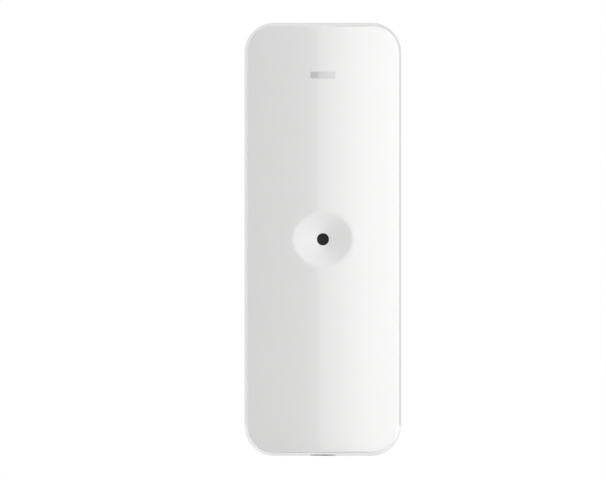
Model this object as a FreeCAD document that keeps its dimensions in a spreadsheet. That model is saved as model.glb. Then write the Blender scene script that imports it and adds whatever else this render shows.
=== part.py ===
import FreeCAD, Part
import math
import os

import Sketcher
from FreeCAD import Placement, Rotation, Vector

# Wireless glass break sensor. Millimetres, +Z up, the front faces -Y, and +X is on the right from the front.
# The origin is the centre of the face that lies against the wall.

doc = FreeCAD.newDocument("glass_break_sensor")
sheet = doc.addObject("Spreadsheet::Sheet", "sizes")

DRIVING_SIZES = {
    # Outline of the two covers together
    "body_width": 40.2,
    "body_height": 111,
    "body_depth": 23,
    "corner_radius": 7.7,
    "parting_depth": 2.5,
    # Front cover: moulded with draft, its face crowned about the long axis
    "side_draft": 2.25,
    "crown_radius": 100,
    "face_edge": 0.35,
    "front_wall": 1.8,
    "dimple_width": 15.7,
    "dimple_height": 15.1,
    "dimple_depth": 1.1,
    "dimple_rim_radius": 9,
    "dimple_lead": 0.4,
    "port_diameter": 3.1,
    "port_wall": 1.3,
    "collar_wall": 0.7,
    "collar_length": 5,
    "boss_diameter": 5,
    "boss_bore": 1.9,
    "boss_bore_length": 5.2,
    "rib_thickness": 1,
    "rib_spacing": 22,
    "rib_count": 4,
    "rib_ledge": 2.4,
    # Window of the indicator, and the light pipe in it
    "window_width": 6.3,
    "window_height": 1.64,
    "window_below_top": 13.41,
    "window_gap": 0.04,
    "pipe_flange": 1,
    "pipe_flange_thickness": 0.8,
    "pipe_stem_width": 4.2,
    "pipe_stem_height": 1.56,
    "pipe_led_gap": 0.3,
    # Rear cover
    "rear_floor": 1.8,
    "rear_setback": 0.35,
    "rear_draft": 12,
    "rear_edge": 0.5,
    "lip_wall": 1.2,
    "lip_reach": 2,
    "lip_gap": 0.2,
    "hook_width": 5,
    "hook_spacing": 20,
    "hook_reach": 0.8,
    "hook_thickness": 1.2,
    "hook_gap": 0.15,
    "wall_hole_diameter": 4.2,
    "wall_hole_from_side": 7.6,
    "wall_hole_from_end": 10.5,
    "tape_recess_width": 26,
    "tape_recess_height": 34,
    "tape_recess_corner": 3,
    "tape_recess_depth": 0.4,
    "tape_recess_level": -24,
    "tab_width": 14,
    "tab_height": 21,
    "tab_level": 27.5,
    "tab_slot": 0.8,
    "tab_bridge_width": 1.4,
    "tab_bridge_thickness": 0.8,
    "tab_hole_below_centre": 5,
    "post_diameter": 4,
    "post_above_centre": 4.5,
    "saddle_thickness": 1,
    "saddle_width": 14,
    "saddle_top": 5,
    "saddle_spacing": 18,
    "saddle_gap": 0.3,
    # Case screw, driven upwards through the bottom of the front cover
    "case_screw_depth": 7,
    "case_recess_diameter": 6.9,
    "case_recess_length": 2.5,
    "case_ledge": 1,
    "case_boss_wall": 1.3,
    "case_head_diameter": 5.6,
    "case_head_height": 1.9,
    "case_screw_diameter": 2.9,
    "case_screw_length": 4.7,
    "case_clear_hole": 3.3,
    "case_thread_gap": 0.05,
    "case_tower_width": 8.4,
    "case_tower_front": 10.6,
    "case_tower_height": 2.9,
    "case_tower_gap": 0.1,
    # Circuit board and the screws that hold it to the front cover
    "board_side_gap": 1.3,
    "board_end_gap": 2.4,
    "board_thickness": 1.6,
    "board_rear": 11,
    "board_corner": 5.4,
    "board_hole": 2.4,
    "board_screw_from_side": 3,
    "board_screw_from_end": 4.3,
    "board_screw_diameter": 1.8,
    "board_screw_length": 6,
    "board_head_diameter": 3.8,
    "board_head_height": 1.4,
    "cross_arm_width": 0.25,
    "cross_span": 0.55,
    "cross_depth": 0.6,
    # Lithium cell, which fills the room inside these gaps, its holder and its contacts
    "cell_rear_gap": 0.6,
    "cell_below_collar": 2.6,
    "cell_above_bottom": 11.5,
    "cell_button_diameter": 6.2,
    "cell_button_height": 0.9,
    "holder_front_gap": 0.55,
    "holder_gap": 0.25,
    "holder_wall": 1,
    "holder_end_wall": 1.2,
    "holder_rear": 9,
    "holder_flange": 1.5,
    "holder_flange_thickness": 1,
    "holder_notch": 12,
    "holder_window_gap": 0.2,
    "contact_thickness": 0.4,
    "contact_width": 6,
    "contact_tail": 0.6,
    "leaf_rise": 2.6,
    "leaf_width": 4.5,
    "leaf_crest": 2,
    "leaf_reach": 4,
    "leaf_clearance": 0.4,
    # Microphone, its boot and the mesh in front of it
    "capsule_diameter": 9.7,
    "capsule_length": 4.5,
    "boot_wall": 1.25,
    "boot_lip": 0.8,
    "boot_opening": 5,
    "boot_gap": 0.1,
    "capsule_pin_side": 0.5,
    "capsule_pin_spacing": 2.54,
    "mesh_diameter": 9,
    "mesh_thickness": 0.15,
    # Push switches on the rear of the board
    "switch_side": 6.2,
    "switch_height": 3.6,
    "switch_bore_depth": 2.2,
    "switch_lead_width": 0.7,
    "switch_lead_spacing": 4.5,
    "switch_lead_reach": 1,
    "switch_lead_thickness": 0.3,
    "plunger_diameter": 3.3,
    "plunger_gap": 0.05,
    "plunger_inside": 1.2,
    "tamper_plunger_reach": 2.6,
    "enrol_plunger_reach": 1.4,
    "enrol_from_side": 6,
    "enrol_level": 30,
    "post_gap": 0.05,
    # Indicator lamp
    "led_length": 3.2,
    "led_width": 1.6,
    "led_height": 1.1,
    "led_lens_length": 2.1,
    "led_lens_width": 1.4,
    # Antenna: a stamped strip bent to a U in front of the board, on two feet
    "antenna_width": 0.8,
    "antenna_thickness": 0.4,
    "antenna_standoff": 3,
    "antenna_from_side": 8,
    "antenna_low_level": 9,
    "antenna_below_window": 5.8,
    "antenna_bend": 2.5,
    # Radio board, its half round contacts and its shield
    "radio_from_side": 1.7,
    "radio_level": 8,
    "radio_height": 18,
    "radio_width": 14.6,
    "radio_thickness": 0.8,
    "radio_contact_diameter": 1,
    "radio_contact_pitch": 2.54,
    "radio_contact_count": 5,
    "shield_margin": 1.4,
    "shield_height": 2.2,
    "shield_wall": 0.2,
    # Moulded chips and their leads
    "chip_standoff": 0.1,
    "lead_thickness": 0.15,
    "lead_width": 0.3,
    "lead_reach": 0.35,
    "lead_foot": 0.7,
    "controller_side": 7,
    "controller_height": 1.2,
    "controller_pitch": 0.8,
    "controller_lead_count": 8,
    "controller_from_side": 8,
    "controller_level": 8,
    "amplifier_width": 3.9,
    "amplifier_length": 8.7,
    "amplifier_height": 1.5,
    "amplifier_pitch": 1.27,
    "amplifier_lead_count": 7,
    "amplifier_level": 13,
    # Crystal, electrolytic capacitors, connector and small chips
    "crystal_length": 10.2,
    "crystal_width": 3.8,
    "crystal_height": 2.9,
    "crystal_rim": 0.4,
    "crystal_rim_thickness": 0.5,
    "crystal_end_share": 0.48,
    "crystal_below_window": 12.4,
    "capacitor_diameter": 5,
    "capacitor_height": 4.2,
    "capacitor_foot_side": 5.3,
    "capacitor_foot_thickness": 0.8,
    "capacitor_from_side": 4,
    "capacitor_level": 18,
    "header_pitch": 2,
    "header_count": 5,
    "header_strip_height": 1.8,
    "header_pin_side": 0.5,
    "header_pin_height": 5,
    "header_below_window": 17.3,
    "small_chip_length": 1.6,
    "small_chip_width": 0.8,
    "resistor_height": 0.5,
    "small_capacitor_height": 0.8,
    "resistor_beside_lamp": 3.5,
    "resistor_below_lamp": 3.8,
    "resistor_beside_amplifier": 3,
    "resistor_above_middle": 4,
    "resistor_below_middle": 3,
    "capacitor_beside_amplifier": 4,
    "capacitor_below_middle": 5.5,
    "capacitor_beside_antenna": 3.5,
    # How far a cut runs past what it cuts
    "cut_margin": 1,
}

for row, (alias, size) in enumerate(DRIVING_SIZES.items(), start=1):
    sheet.set(f"A{row}", alias)
    sheet.set(f"B{row}", str(size))
    sheet.setAlias(f"B{row}", alias)
doc.recompute()


# Expressions that several pieces share

def crown_drop(across):
    """How far the crowned face falls back at this distance from the middle."""
    return f"(sizes.crown_radius - sqrt(sizes.crown_radius ^ 2 - ({across}) ^ 2))"


INNER_WIDTH = "sizes.body_width - 2 * sizes.front_wall"
INNER_HEIGHT = "sizes.body_height - 2 * sizes.front_wall"
INNER_CORNER = "sizes.corner_radius - sizes.front_wall"
BOARD_WIDTH = f"({INNER_WIDTH} - 2 * sizes.board_side_gap)"
BOARD_HEIGHT = f"({INNER_HEIGHT} - 2 * sizes.board_end_gap)"
BOARD_FRONT = "sizes.board_rear + sizes.board_thickness"
BOARD_SCREW_ACROSS = f"({BOARD_WIDTH} / 2 - sizes.board_screw_from_side)"
BOARD_SCREW_UP = f"({BOARD_HEIGHT} / 2 - sizes.board_screw_from_end)"
WINDOW_LEVEL = "(sizes.body_height / 2 - sizes.window_below_top)"
PORT_INNER = "sizes.body_depth - sizes.dimple_depth - sizes.port_wall"
BOOT_DIAMETER = "sizes.capsule_diameter + 2 * sizes.boot_wall"
COLLAR_BORE = f"{BOOT_DIAMETER} + 2 * sizes.boot_gap"
COLLAR_DIAMETER = f"{COLLAR_BORE} + 2 * sizes.collar_wall"
HOLDER_TO_FACE = "(sizes.holder_gap + sizes.holder_wall + sizes.holder_front_gap)"
CELL_ROOM = "(sizes.body_depth - sizes.front_wall - sizes.rear_floor)"
CELL_DIAMETER = f"({CELL_ROOM} - sizes.cell_rear_gap - {HOLDER_TO_FACE})"
CELL_AXIS_DEPTH = f"(sizes.rear_floor + sizes.cell_rear_gap + {CELL_DIAMETER} / 2)"
CELL_TOP = f"(-({COLLAR_DIAMETER}) / 2 - sizes.cell_below_collar)"
CELL_BOTTOM = "(sizes.cell_above_bottom - sizes.body_height / 2)"
CELL_LENGTH = f"({CELL_TOP} - {CELL_BOTTOM})"
HOLDER_BORE = f"{CELL_DIAMETER} / 2 + sizes.holder_gap"
HOLDER_OUTER = f"{HOLDER_BORE} + sizes.holder_wall"
HOLDER_TOP_INNER = f"{CELL_TOP} + sizes.contact_thickness"
HOLDER_BOTTOM_INNER = f"{CELL_BOTTOM} - sizes.leaf_rise - sizes.contact_thickness"
HOLDER_LENGTH = f"{HOLDER_TOP_INNER} - ({HOLDER_BOTTOM_INNER}) + 2 * sizes.holder_end_wall"
HOLDER_MIDDLE = f"({HOLDER_TOP_INNER} + {HOLDER_BOTTOM_INNER}) / 2"
CASE_LEDGE_LEVEL = "sizes.body_height / 2 - sizes.case_recess_length"
CASE_BOSS_LEVEL = f"{CASE_LEDGE_LEVEL} - sizes.case_ledge"
SWITCH_TOP = "sizes.board_rear - sizes.switch_height"
POST_LEVEL = "sizes.tab_level + sizes.post_above_centre"
ENROL_ACROSS = f"(sizes.enrol_from_side - {BOARD_WIDTH} / 2)"
RADIO_ACROSS = f"(({BOARD_WIDTH} - sizes.radio_width) / 2 - sizes.radio_from_side)"
CONTROLLER_ACROSS = f"(sizes.controller_from_side - {BOARD_WIDTH} / 2)"
ANTENNA_SPAN = f"({BOARD_WIDTH} - 2 * sizes.antenna_from_side)"


# Small helpers for sketches and features

def value(expression):
    """The size that an expression on the sheet comes to."""
    return float(sheet.evalExpression(expression))


def new_body(name):
    body = doc.addObject("PartDesign::Body", name)
    body.Label = name
    return body


def origin_part(body, role):
    return next(item for item in body.Origin.OriginFeatures if item.Role == role)


def new_sketch(body, name, plane, offset="0"):
    """A sketch on one of the body's own planes, moved along the plane's normal.

    XZ_Plane has its normal towards the front, -Y, so its offset is a depth measured from the wall.
    """
    sketch = body.newObject("Sketcher::SketchObject", name)
    sketch.AttachmentSupport = [(origin_part(body, plane), "")]
    sketch.MapMode = "FlatFace"
    sketch.setExpression("AttachmentOffset.Base.z", offset)
    return sketch


def size_constraint(sketch, constraint, expression):
    """Adds a dimension and ties it to the sheet."""
    index = sketch.addConstraint(constraint)
    name = f"size_{index}"
    sketch.renameConstraint(index, name)
    sketch.setExpression(f"Constraints.{name}", expression)


def place_point(sketch, geometry, point, across, up):
    """Fixes a point of the sketch at these coordinates from the sketch's origin."""
    x, y = value(across), value(up)
    size_constraint(sketch, Sketcher.Constraint("DistanceX", -1, 1, geometry, point, x), across)
    size_constraint(sketch, Sketcher.Constraint("DistanceY", -1, 1, geometry, point, y), up)


def draw_circle(sketch, diameter, across="0", up="0"):
    centre = Vector(value(across), value(up), 0)
    circle = sketch.addGeometry(Part.Circle(centre, Vector(0, 0, 1), value(diameter) / 2), False)
    place_point(sketch, circle, 3, across, up)
    size_constraint(sketch, Sketcher.Constraint("Diameter", circle, value(diameter)), diameter)


def draw_rectangle(sketch, left, right, bottom, top):
    """A rectangle between four coordinates."""
    corners = [(left, bottom), (right, bottom), (right, top), (left, top)]
    draw_polygon(sketch, corners)


def draw_polygon(sketch, corners):
    """Straight lines through corners given as pairs of expressions, closed."""
    points = [Vector(value(across), value(up), 0) for across, up in corners]
    lines = []
    for start, end in zip(points, points[1:] + points[:1]):
        lines.append(sketch.addGeometry(Part.LineSegment(start, end), False))
    for line, following in zip(lines, lines[1:] + lines[:1]):
        sketch.addConstraint(Sketcher.Constraint("Coincident", line, 2, following, 1))
    for line, (across, up) in zip(lines, corners):
        place_point(sketch, line, 1, across, up)


def draw_centred_rectangle(sketch, width, height, across="0", up="0"):
    draw_rectangle(
        sketch,
        f"{across} - ({width}) / 2",
        f"{across} + ({width}) / 2",
        f"{up} - ({height}) / 2",
        f"{up} + ({height}) / 2",
    )


def draw_rounded_rectangle(sketch, width, height, radius, across="0", up="0"):
    """Four lines and four tangent arcs, placed by the centres of the arcs."""
    x, y, r = value(across), value(up), value(radius)
    half_width, half_height = value(width) / 2, value(height) / 2
    inset_x, inset_y = half_width - r, half_height - r
    quarter = math.pi / 2
    signs = [(1, 1), (-1, 1), (-1, -1), (1, -1)]
    arcs = []
    for turn, (side_x, side_y) in enumerate(signs):
        circle = Part.Circle(Vector(x + side_x * inset_x, y + side_y * inset_y, 0), Vector(0, 0, 1), r)
        arcs.append(sketch.addGeometry(Part.ArcOfCircle(circle, turn * quarter, (turn + 1) * quarter), False))
    lines = []
    for arc, following in zip(arcs, arcs[1:] + arcs[:1]):
        start = sketch.getPoint(arc, 2)
        end = sketch.getPoint(following, 1)
        line = sketch.addGeometry(Part.LineSegment(start, end), False)
        lines.append(line)
        sketch.addConstraint(Sketcher.Constraint("Tangent", arc, 2, line, 1))
        sketch.addConstraint(Sketcher.Constraint("Tangent", line, 2, following, 1))
    for arc in arcs[1:]:
        sketch.addConstraint(Sketcher.Constraint("Equal", arcs[0], arc))
    size_constraint(sketch, Sketcher.Constraint("Radius", arcs[0], r), radius)
    reach_across = f"(({width}) / 2 - ({radius}))"
    reach_up = f"(({height}) / 2 - ({radius}))"
    place_point(sketch, arcs[0], 3, f"{across} + {reach_across}", f"{up} + {reach_up}")
    place_point(sketch, arcs[2], 3, f"{across} - {reach_across}", f"{up} - {reach_up}")
    sketch.addConstraint(Sketcher.Constraint("Horizontal", lines[0]))
    sketch.addConstraint(Sketcher.Constraint("Vertical", lines[1]))


def draw_ellipse(sketch, across_radius, up_radius):
    """An ellipse about the sketch's origin, longer across than up."""
    across, up = value(across_radius), value(up_radius)
    ellipse = sketch.addGeometry(Part.Ellipse(Vector(across, 0, 0), Vector(0, up, 0), Vector(0, 0, 0)), False)
    sketch.exposeInternalGeometry(ellipse)
    long_axis, short_axis = ellipse + 1, ellipse + 2
    sketch.addConstraint(Sketcher.Constraint("Coincident", ellipse, 3, -1, 1))
    sketch.addConstraint(Sketcher.Constraint("Horizontal", long_axis))
    length = Sketcher.Constraint("DistanceX", long_axis, 2, long_axis, 1, 2 * across)
    size_constraint(sketch, length, f"2 * ({across_radius})")
    height = Sketcher.Constraint("DistanceY", short_axis, 2, short_axis, 1, 2 * up)
    size_constraint(sketch, height, f"2 * ({up_radius})")


def draw_trough(sketch, radius, centre_up, open_up):
    """A half circle below two straight sides that end at open_up: the section of a U trough."""
    r, middle, top = value(radius), value(centre_up), value(open_up)
    circle = Part.Circle(Vector(0, middle, 0), Vector(0, 0, 1), r)
    arc = sketch.addGeometry(Part.ArcOfCircle(circle, math.pi, 2 * math.pi), False)
    right = sketch.addGeometry(Part.LineSegment(Vector(r, middle, 0), Vector(r, top, 0)), False)
    lid = sketch.addGeometry(Part.LineSegment(Vector(r, top, 0), Vector(-r, top, 0)), False)
    left = sketch.addGeometry(Part.LineSegment(Vector(-r, top, 0), Vector(-r, middle, 0)), False)
    sketch.addConstraint(Sketcher.Constraint("Tangent", arc, 2, right, 1))
    sketch.addConstraint(Sketcher.Constraint("Coincident", right, 2, lid, 1))
    sketch.addConstraint(Sketcher.Constraint("Coincident", lid, 2, left, 1))
    sketch.addConstraint(Sketcher.Constraint("Tangent", left, 2, arc, 1))
    sketch.addConstraint(Sketcher.Constraint("Horizontal", lid))
    sketch.addConstraint(Sketcher.Constraint("Vertical", right))
    sketch.addConstraint(Sketcher.Constraint("Vertical", left))
    place_point(sketch, arc, 3, "0", centre_up)
    size_constraint(sketch, Sketcher.Constraint("Radius", arc, r), radius)
    size_constraint(sketch, Sketcher.Constraint("DistanceY", -1, 1, lid, 1, top), open_up)


def pad(body, sketch, name, length, against=False, both_ways=False, taper=None):
    """Adds material along the sketch's normal, or against it."""
    feature = body.newObject("PartDesign::Pad", name)
    feature.Profile = sketch
    feature.Reversed = against
    feature.Midplane = both_ways
    feature.setExpression("Length", length)
    if taper:
        feature.setExpression("TaperAngle", taper)
    doc.recompute()
    return feature


def pocket(body, sketch, name, length, along=False, both_ways=False):
    """Takes material away against the sketch's normal, or along it, and checks that some went."""
    before = body.Shape.Volume
    feature = body.newObject("PartDesign::Pocket", name)
    feature.Profile = sketch
    feature.Reversed = along
    feature.Midplane = both_ways
    feature.setExpression("Length", length)
    doc.recompute()
    if not feature.Shape.Volume < before:
        raise RuntimeError(f"{name} cuts nothing")
    return feature


def revolve(body, sketch, name, axis="V_Axis"):
    feature = body.newObject("PartDesign::Revolution", name)
    feature.Profile = sketch
    feature.ReferenceAxis = (sketch, [axis])
    feature.Angle = 360
    doc.recompute()


def mirrored(body, name, originals, plane):
    feature = body.newObject("PartDesign::Mirrored", name)
    feature.Originals = originals
    feature.MirrorPlane = (origin_part(body, plane), [""])
    body.Tip = feature
    doc.recompute()


def mirrored_twice(body, name, originals, planes):
    """Copies features into the four quarters."""
    feature = body.newObject("PartDesign::MultiTransform", name)
    feature.Originals = originals
    steps = []
    for index, plane in enumerate(planes):
        step = body.newObject("PartDesign::Mirrored", f"{name}_{index}")
        step.MirrorPlane = (origin_part(body, plane), [""])
        steps.append(step)
    feature.Transformations = steps
    body.Tip = feature
    doc.recompute()


def opposite(body, name, originals):
    """Repeats features half a turn away about the depth axis."""
    feature = body.newObject("PartDesign::PolarPattern", name)
    feature.Originals = originals
    feature.Axis = (origin_part(body, "Y_Axis"), [""])
    feature.Angle = 360
    feature.Occurrences = 2
    body.Tip = feature
    doc.recompute()


def row_of(body, name, originals, axis, spacing, count):
    """Repeats features along an axis of the body."""
    feature = body.newObject("PartDesign::LinearPattern", name)
    feature.Originals = originals
    set_row(body, feature, axis, spacing, count)
    body.Tip = feature
    doc.recompute()


def rows_on_both_sides(body, name, originals, axis, spacing, count, plane):
    """Repeats features along an axis, and mirrors the row to the other side of a plane."""
    feature = body.newObject("PartDesign::MultiTransform", name)
    feature.Originals = originals
    repeat = body.newObject("PartDesign::LinearPattern", f"{name}_row")
    set_row(body, repeat, axis, spacing, count)
    flip = body.newObject("PartDesign::Mirrored", f"{name}_flip")
    flip.MirrorPlane = (origin_part(body, plane), [""])
    feature.Transformations = [repeat, flip]
    body.Tip = feature
    doc.recompute()


def set_row(body, pattern, axis, spacing, count):
    pattern.Direction = (origin_part(body, axis), [""])
    pattern.setExpression("Length", f"({spacing}) * ({count} - 1)")
    pattern.setExpression("Occurrences", count)


def edges_where(shape, test):
    """The names of the edges whose middle point and box pass the test."""
    found = []
    for index, edge in enumerate(shape.Edges, start=1):
        middle = edge.valueAt((edge.FirstParameter + edge.LastParameter) / 2)
        if test(middle, edge.BoundBox):
            found.append(f"Edge{index}")
    return found


def fillet(body, name, radius, test):
    """Rounds the edges of the body's last feature that pass the test."""
    base = body.Tip
    feature = body.newObject("PartDesign::Fillet", name)
    feature.Base = (base, edges_where(base.Shape, test))
    feature.setExpression("Radius", radius)
    doc.recompute()


def chamfer(body, name, size, test):
    """Bevels the edges of the body's last feature that pass the test."""
    base = body.Tip
    feature = body.newObject("PartDesign::Chamfer", name)
    feature.Base = (base, edges_where(base.Shape, test))
    feature.setExpression("Size", size)
    doc.recompute()


def on_board(body, across, level, side):
    """Turns a body that was built with +Z off the board and sets it on the board's front or rear face."""
    turn = 90 if side == "front" else -90
    body.Placement = Placement(Vector(0, 0, 0), Rotation(Vector(1, 0, 0), turn))
    body.setExpression("Placement.Base.x", across)
    body.setExpression("Placement.Base.y", f"-({BOARD_FRONT})" if side == "front" else "-sizes.board_rear")
    body.setExpression("Placement.Base.z", level)
    doc.recompute()


# Front cover

def cut_crown(body, name, radius):
    """Cuts the front of a block to a cylinder about the long axis, centred behind the wall."""
    centre_up = "sizes.crown_radius - sizes.body_depth"
    r, middle = value(radius), value(centre_up)
    half = value("sizes.body_width / 2 + sizes.cut_margin")
    front = value("-sizes.body_depth - 2 * sizes.cut_margin")
    edge = middle - math.sqrt(r * r - half * half)
    turn = math.asin(half / r)
    down = -math.pi / 2
    sketch = new_sketch(body, f"{name}_section", "XY_Plane")
    circle = Part.Circle(Vector(0, middle, 0), Vector(0, 0, 1), r)
    arc = sketch.addGeometry(Part.ArcOfCircle(circle, down - turn, down + turn), False)
    points = [Vector(half, edge, 0), Vector(half, front, 0), Vector(-half, front, 0), Vector(-half, edge, 0)]
    lines = [sketch.addGeometry(Part.LineSegment(a, b), False) for a, b in zip(points, points[1:])]
    chain = [arc] + lines
    for item, following in zip(chain, chain[1:] + chain[:1]):
        sketch.addConstraint(Sketcher.Constraint("Coincident", item, 2, following, 1))
    sketch.addConstraint(Sketcher.Constraint("Vertical", lines[0]))
    sketch.addConstraint(Sketcher.Constraint("Horizontal", lines[1]))
    sketch.addConstraint(Sketcher.Constraint("Vertical", lines[2]))
    sketch.addConstraint(Sketcher.Constraint("Symmetric", lines[0], 1, lines[2], 2, -2))
    size_constraint(sketch, Sketcher.Constraint("Radius", arc, r), radius)
    size_constraint(sketch, Sketcher.Constraint("DistanceY", -1, 1, arc, 3, middle), centre_up)
    width = Sketcher.Constraint("DistanceX", lines[1], 2, lines[1], 1, 2 * half)
    size_constraint(sketch, width, "sizes.body_width + 2 * sizes.cut_margin")
    reach = Sketcher.Constraint("DistanceY", lines[1], 1, -1, 1, -front)
    size_constraint(sketch, reach, "sizes.body_depth + 2 * sizes.cut_margin")
    return pocket(body, sketch, name, "sizes.body_height + 2 * sizes.cut_margin", both_ways=True)


def make_cover_core():
    """The hollow of the front cover, as its moulding core."""
    body = new_body("cover_core")
    sketch = new_sketch(body, "core_outline", "XZ_Plane", "sizes.parting_depth")
    draw_rounded_rectangle(sketch, INNER_WIDTH, INNER_HEIGHT, INNER_CORNER)
    pad(body, sketch, "core_block", "sizes.body_depth - sizes.parting_depth", taper="-sizes.side_draft")
    cut_crown(body, "core_crown", "sizes.crown_radius - sizes.front_wall")
    return body


def cut_dimple(body):
    """The funnel in the middle of the face, from a rim that stays round on the crown to the sound port."""
    lead = "sizes.dimple_lead"
    port_radius = "sizes.port_diameter / 2"
    across_rim = "sizes.dimple_width / 2"
    up_rim = "sizes.dimple_height / 2"
    drop = crown_drop(across_rim)
    across_slope = f"((sizes.dimple_depth - {drop}) / ({across_rim} - {port_radius}))"
    up_slope = f"(sizes.dimple_depth / ({up_rim} - {port_radius}))"
    mouth = new_sketch(body, "dimple_mouth", "XZ_Plane", f"sizes.body_depth + {lead}")
    mouth_across = f"{across_rim} + ({drop} + {lead}) / {across_slope}"
    draw_ellipse(mouth, mouth_across, f"{up_rim} + {lead} / {up_slope}")
    floor = new_sketch(body, "dimple_floor", "XZ_Plane", "sizes.body_depth - sizes.dimple_depth")
    draw_circle(floor, "sizes.port_diameter")
    loft = body.newObject("PartDesign::SubtractiveLoft", "dimple")
    loft.Profile = floor
    loft.Sections = [mouth]
    loft.Ruled = True
    doc.recompute()
    port = new_sketch(body, "port_outline", "XZ_Plane")
    draw_circle(port, "sizes.port_diameter")
    pocket(body, port, "port", "sizes.body_depth", along=True)
    rim_across, rim_up = value(across_rim), value(up_rim)
    face = value("sizes.body_depth - sizes.dimple_depth / 2")
    near = value("sizes.dimple_depth / 2")

    def is_rim(middle, box):
        return (
            abs(box.XMax - rim_across) < near and abs(box.ZMax - rim_up) < near and box.YMax < -face
        )

    fillet(body, "dimple_rim", "sizes.dimple_rim_radius", is_rim)


def add_board_bosses(body):
    """Two bosses with blind bores at opposite corners, from inside the face to the board."""
    across, up = BOARD_SCREW_ACROSS, BOARD_SCREW_UP
    tip = f"sizes.body_depth - sizes.front_wall / 2 - {crown_drop(across)}"
    outline = new_sketch(body, "boss_outline", "XZ_Plane", BOARD_FRONT)
    draw_circle(outline, "sizes.boss_diameter", across, up)
    boss = pad(body, outline, "boss", f"{tip} - ({BOARD_FRONT})")
    opposite(body, "bosses", [boss])
    bore = new_sketch(body, "boss_bore_outline", "XZ_Plane", BOARD_FRONT)
    draw_circle(bore, "sizes.boss_bore", across, up)
    cut = pocket(body, bore, "boss_bore", "sizes.boss_bore_length", along=True)
    opposite(body, "boss_bores", [cut])


def add_board_ribs(body):
    """Upright ribs on both side walls, whose rear ends carry the board's long edges."""
    inner = f"{BOARD_WIDTH} / 2 - sizes.rib_ledge"
    draft_in = "(sizes.body_depth - sizes.parting_depth) * tan(sizes.side_draft)"
    wall = f"sizes.body_width / 2 - sizes.front_wall / 2 - {draft_in}"
    lowest = "sizes.rib_spacing * (sizes.rib_count - 1) / 2"
    outline = new_sketch(body, "rib_outline", "XZ_Plane", BOARD_FRONT)
    draw_rectangle(
        outline, inner, wall, f"-{lowest} - sizes.rib_thickness / 2", f"-{lowest} + sizes.rib_thickness / 2"
    )
    tip = f"sizes.body_depth - sizes.front_wall / 2 - {crown_drop(wall)}"
    rib = pad(body, outline, "rib", f"{tip} - ({BOARD_FRONT})")
    rows_on_both_sides(body, "ribs", [rib], "Z_Axis", "sizes.rib_spacing", "sizes.rib_count", "YZ_Plane")


def make_front_cover():
    core = make_cover_core()
    body = new_body("front_cover")
    outline = new_sketch(body, "parting_outline", "XZ_Plane", "sizes.parting_depth")
    draw_rounded_rectangle(outline, "sizes.body_width", "sizes.body_height", "sizes.corner_radius")
    pad(body, outline, "block", "sizes.body_depth - sizes.parting_depth", taper="-sizes.side_draft")
    cut_crown(body, "crown", "sizes.crown_radius")
    hollow = body.newObject("PartDesign::Boolean", "hollow")
    hollow.Type = "Cut"
    hollow.setObjects([core])
    doc.recompute()

    cut_dimple(body)
    add_face_edge(body)
    add_port_collar(body)
    add_board_bosses(body)
    add_board_ribs(body)
    cut_indicator_window(body)
    add_case_screw_seat(body)
    cut_hook_pockets(body)
    return body


def add_face_edge(body):
    """Breaks the edge between the crowned face and the drafted walls."""
    draft_in = value("(sizes.body_depth - sizes.parting_depth) * tan(sizes.side_draft)")
    half_width = value("sizes.body_width / 2") - draft_in
    half_height = value("sizes.body_height / 2") - draft_in
    inset = value("sizes.corner_radius")
    reach = value("sizes.front_wall") / 2
    behind = -value(f"sizes.body_depth - {crown_drop('sizes.body_width / 2')}") + reach

    def is_face_edge(middle, box):
        at_side = abs(middle.x) > half_width - reach
        at_end = abs(middle.z) > half_height - reach
        at_corner = abs(middle.x) > half_width - inset and abs(middle.z) > half_height - inset
        return box.YMax < behind and (at_side or at_end or at_corner)

    chamfer(body, "face_edge", "sizes.face_edge", is_face_edge)


def add_port_collar(body):
    """A thick disc behind the dimple, and the collar that holds the microphone's boot."""
    disc = new_sketch(body, "port_disc_outline", "XZ_Plane", PORT_INNER)
    draw_circle(disc, COLLAR_DIAMETER)
    draw_circle(disc, "sizes.port_diameter")
    pad(body, disc, "port_disc", "sizes.port_wall / 2")
    ring = new_sketch(body, "collar_outline", "XZ_Plane", f"{PORT_INNER} - sizes.collar_length")
    draw_circle(ring, COLLAR_DIAMETER)
    draw_circle(ring, COLLAR_BORE)
    pad(body, ring, "collar", "sizes.collar_length + sizes.port_wall / 2")


def cut_indicator_window(body):
    outline = new_sketch(body, "window_outline", "XZ_Plane")
    draw_centred_rectangle(outline, "sizes.window_width", "sizes.window_height", up=WINDOW_LEVEL)
    pocket(body, outline, "window", "sizes.body_depth", along=True)


def add_case_screw_seat(body):
    """The round recess in the bottom wall, its inner boss and the ledge under the screw's head."""
    depth = "-sizes.case_screw_depth"
    middle_of_wall = "sizes.body_height / 2 - sizes.front_wall / 2"
    boss = new_sketch(body, "case_boss_outline", "XY_Plane", f"-({CASE_BOSS_LEVEL})")
    boss_diameter = "sizes.case_recess_diameter + 2 * sizes.case_boss_wall"
    draw_circle(boss, boss_diameter, up=depth)
    pad(body, boss, "case_boss", f"{middle_of_wall} - ({CASE_BOSS_LEVEL})", against=True)
    trim = new_sketch(body, "case_boss_trim_outline", "XZ_Plane")
    below = "-sizes.body_height / 2 - sizes.cut_margin"
    above = f"-({CASE_BOSS_LEVEL}) + sizes.cut_margin"
    draw_rectangle(trim, f"-({boss_diameter})", boss_diameter, below, above)
    pocket(body, trim, "case_boss_trim", "sizes.parting_depth", along=True)
    recess = new_sketch(body, "case_recess_outline", "XY_Plane", f"-({CASE_LEDGE_LEVEL})")
    draw_circle(recess, "sizes.case_recess_diameter", up=depth)
    pocket(body, recess, "case_recess", "sizes.case_recess_length + sizes.cut_margin")
    hole = new_sketch(body, "case_hole_outline", "XY_Plane", f"-({CASE_LEDGE_LEVEL}) - sizes.cut_margin")
    draw_circle(hole, "sizes.case_clear_hole", up=depth)
    pocket(body, hole, "case_hole", "sizes.case_ledge + 2 * sizes.cut_margin", along=True)


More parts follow.
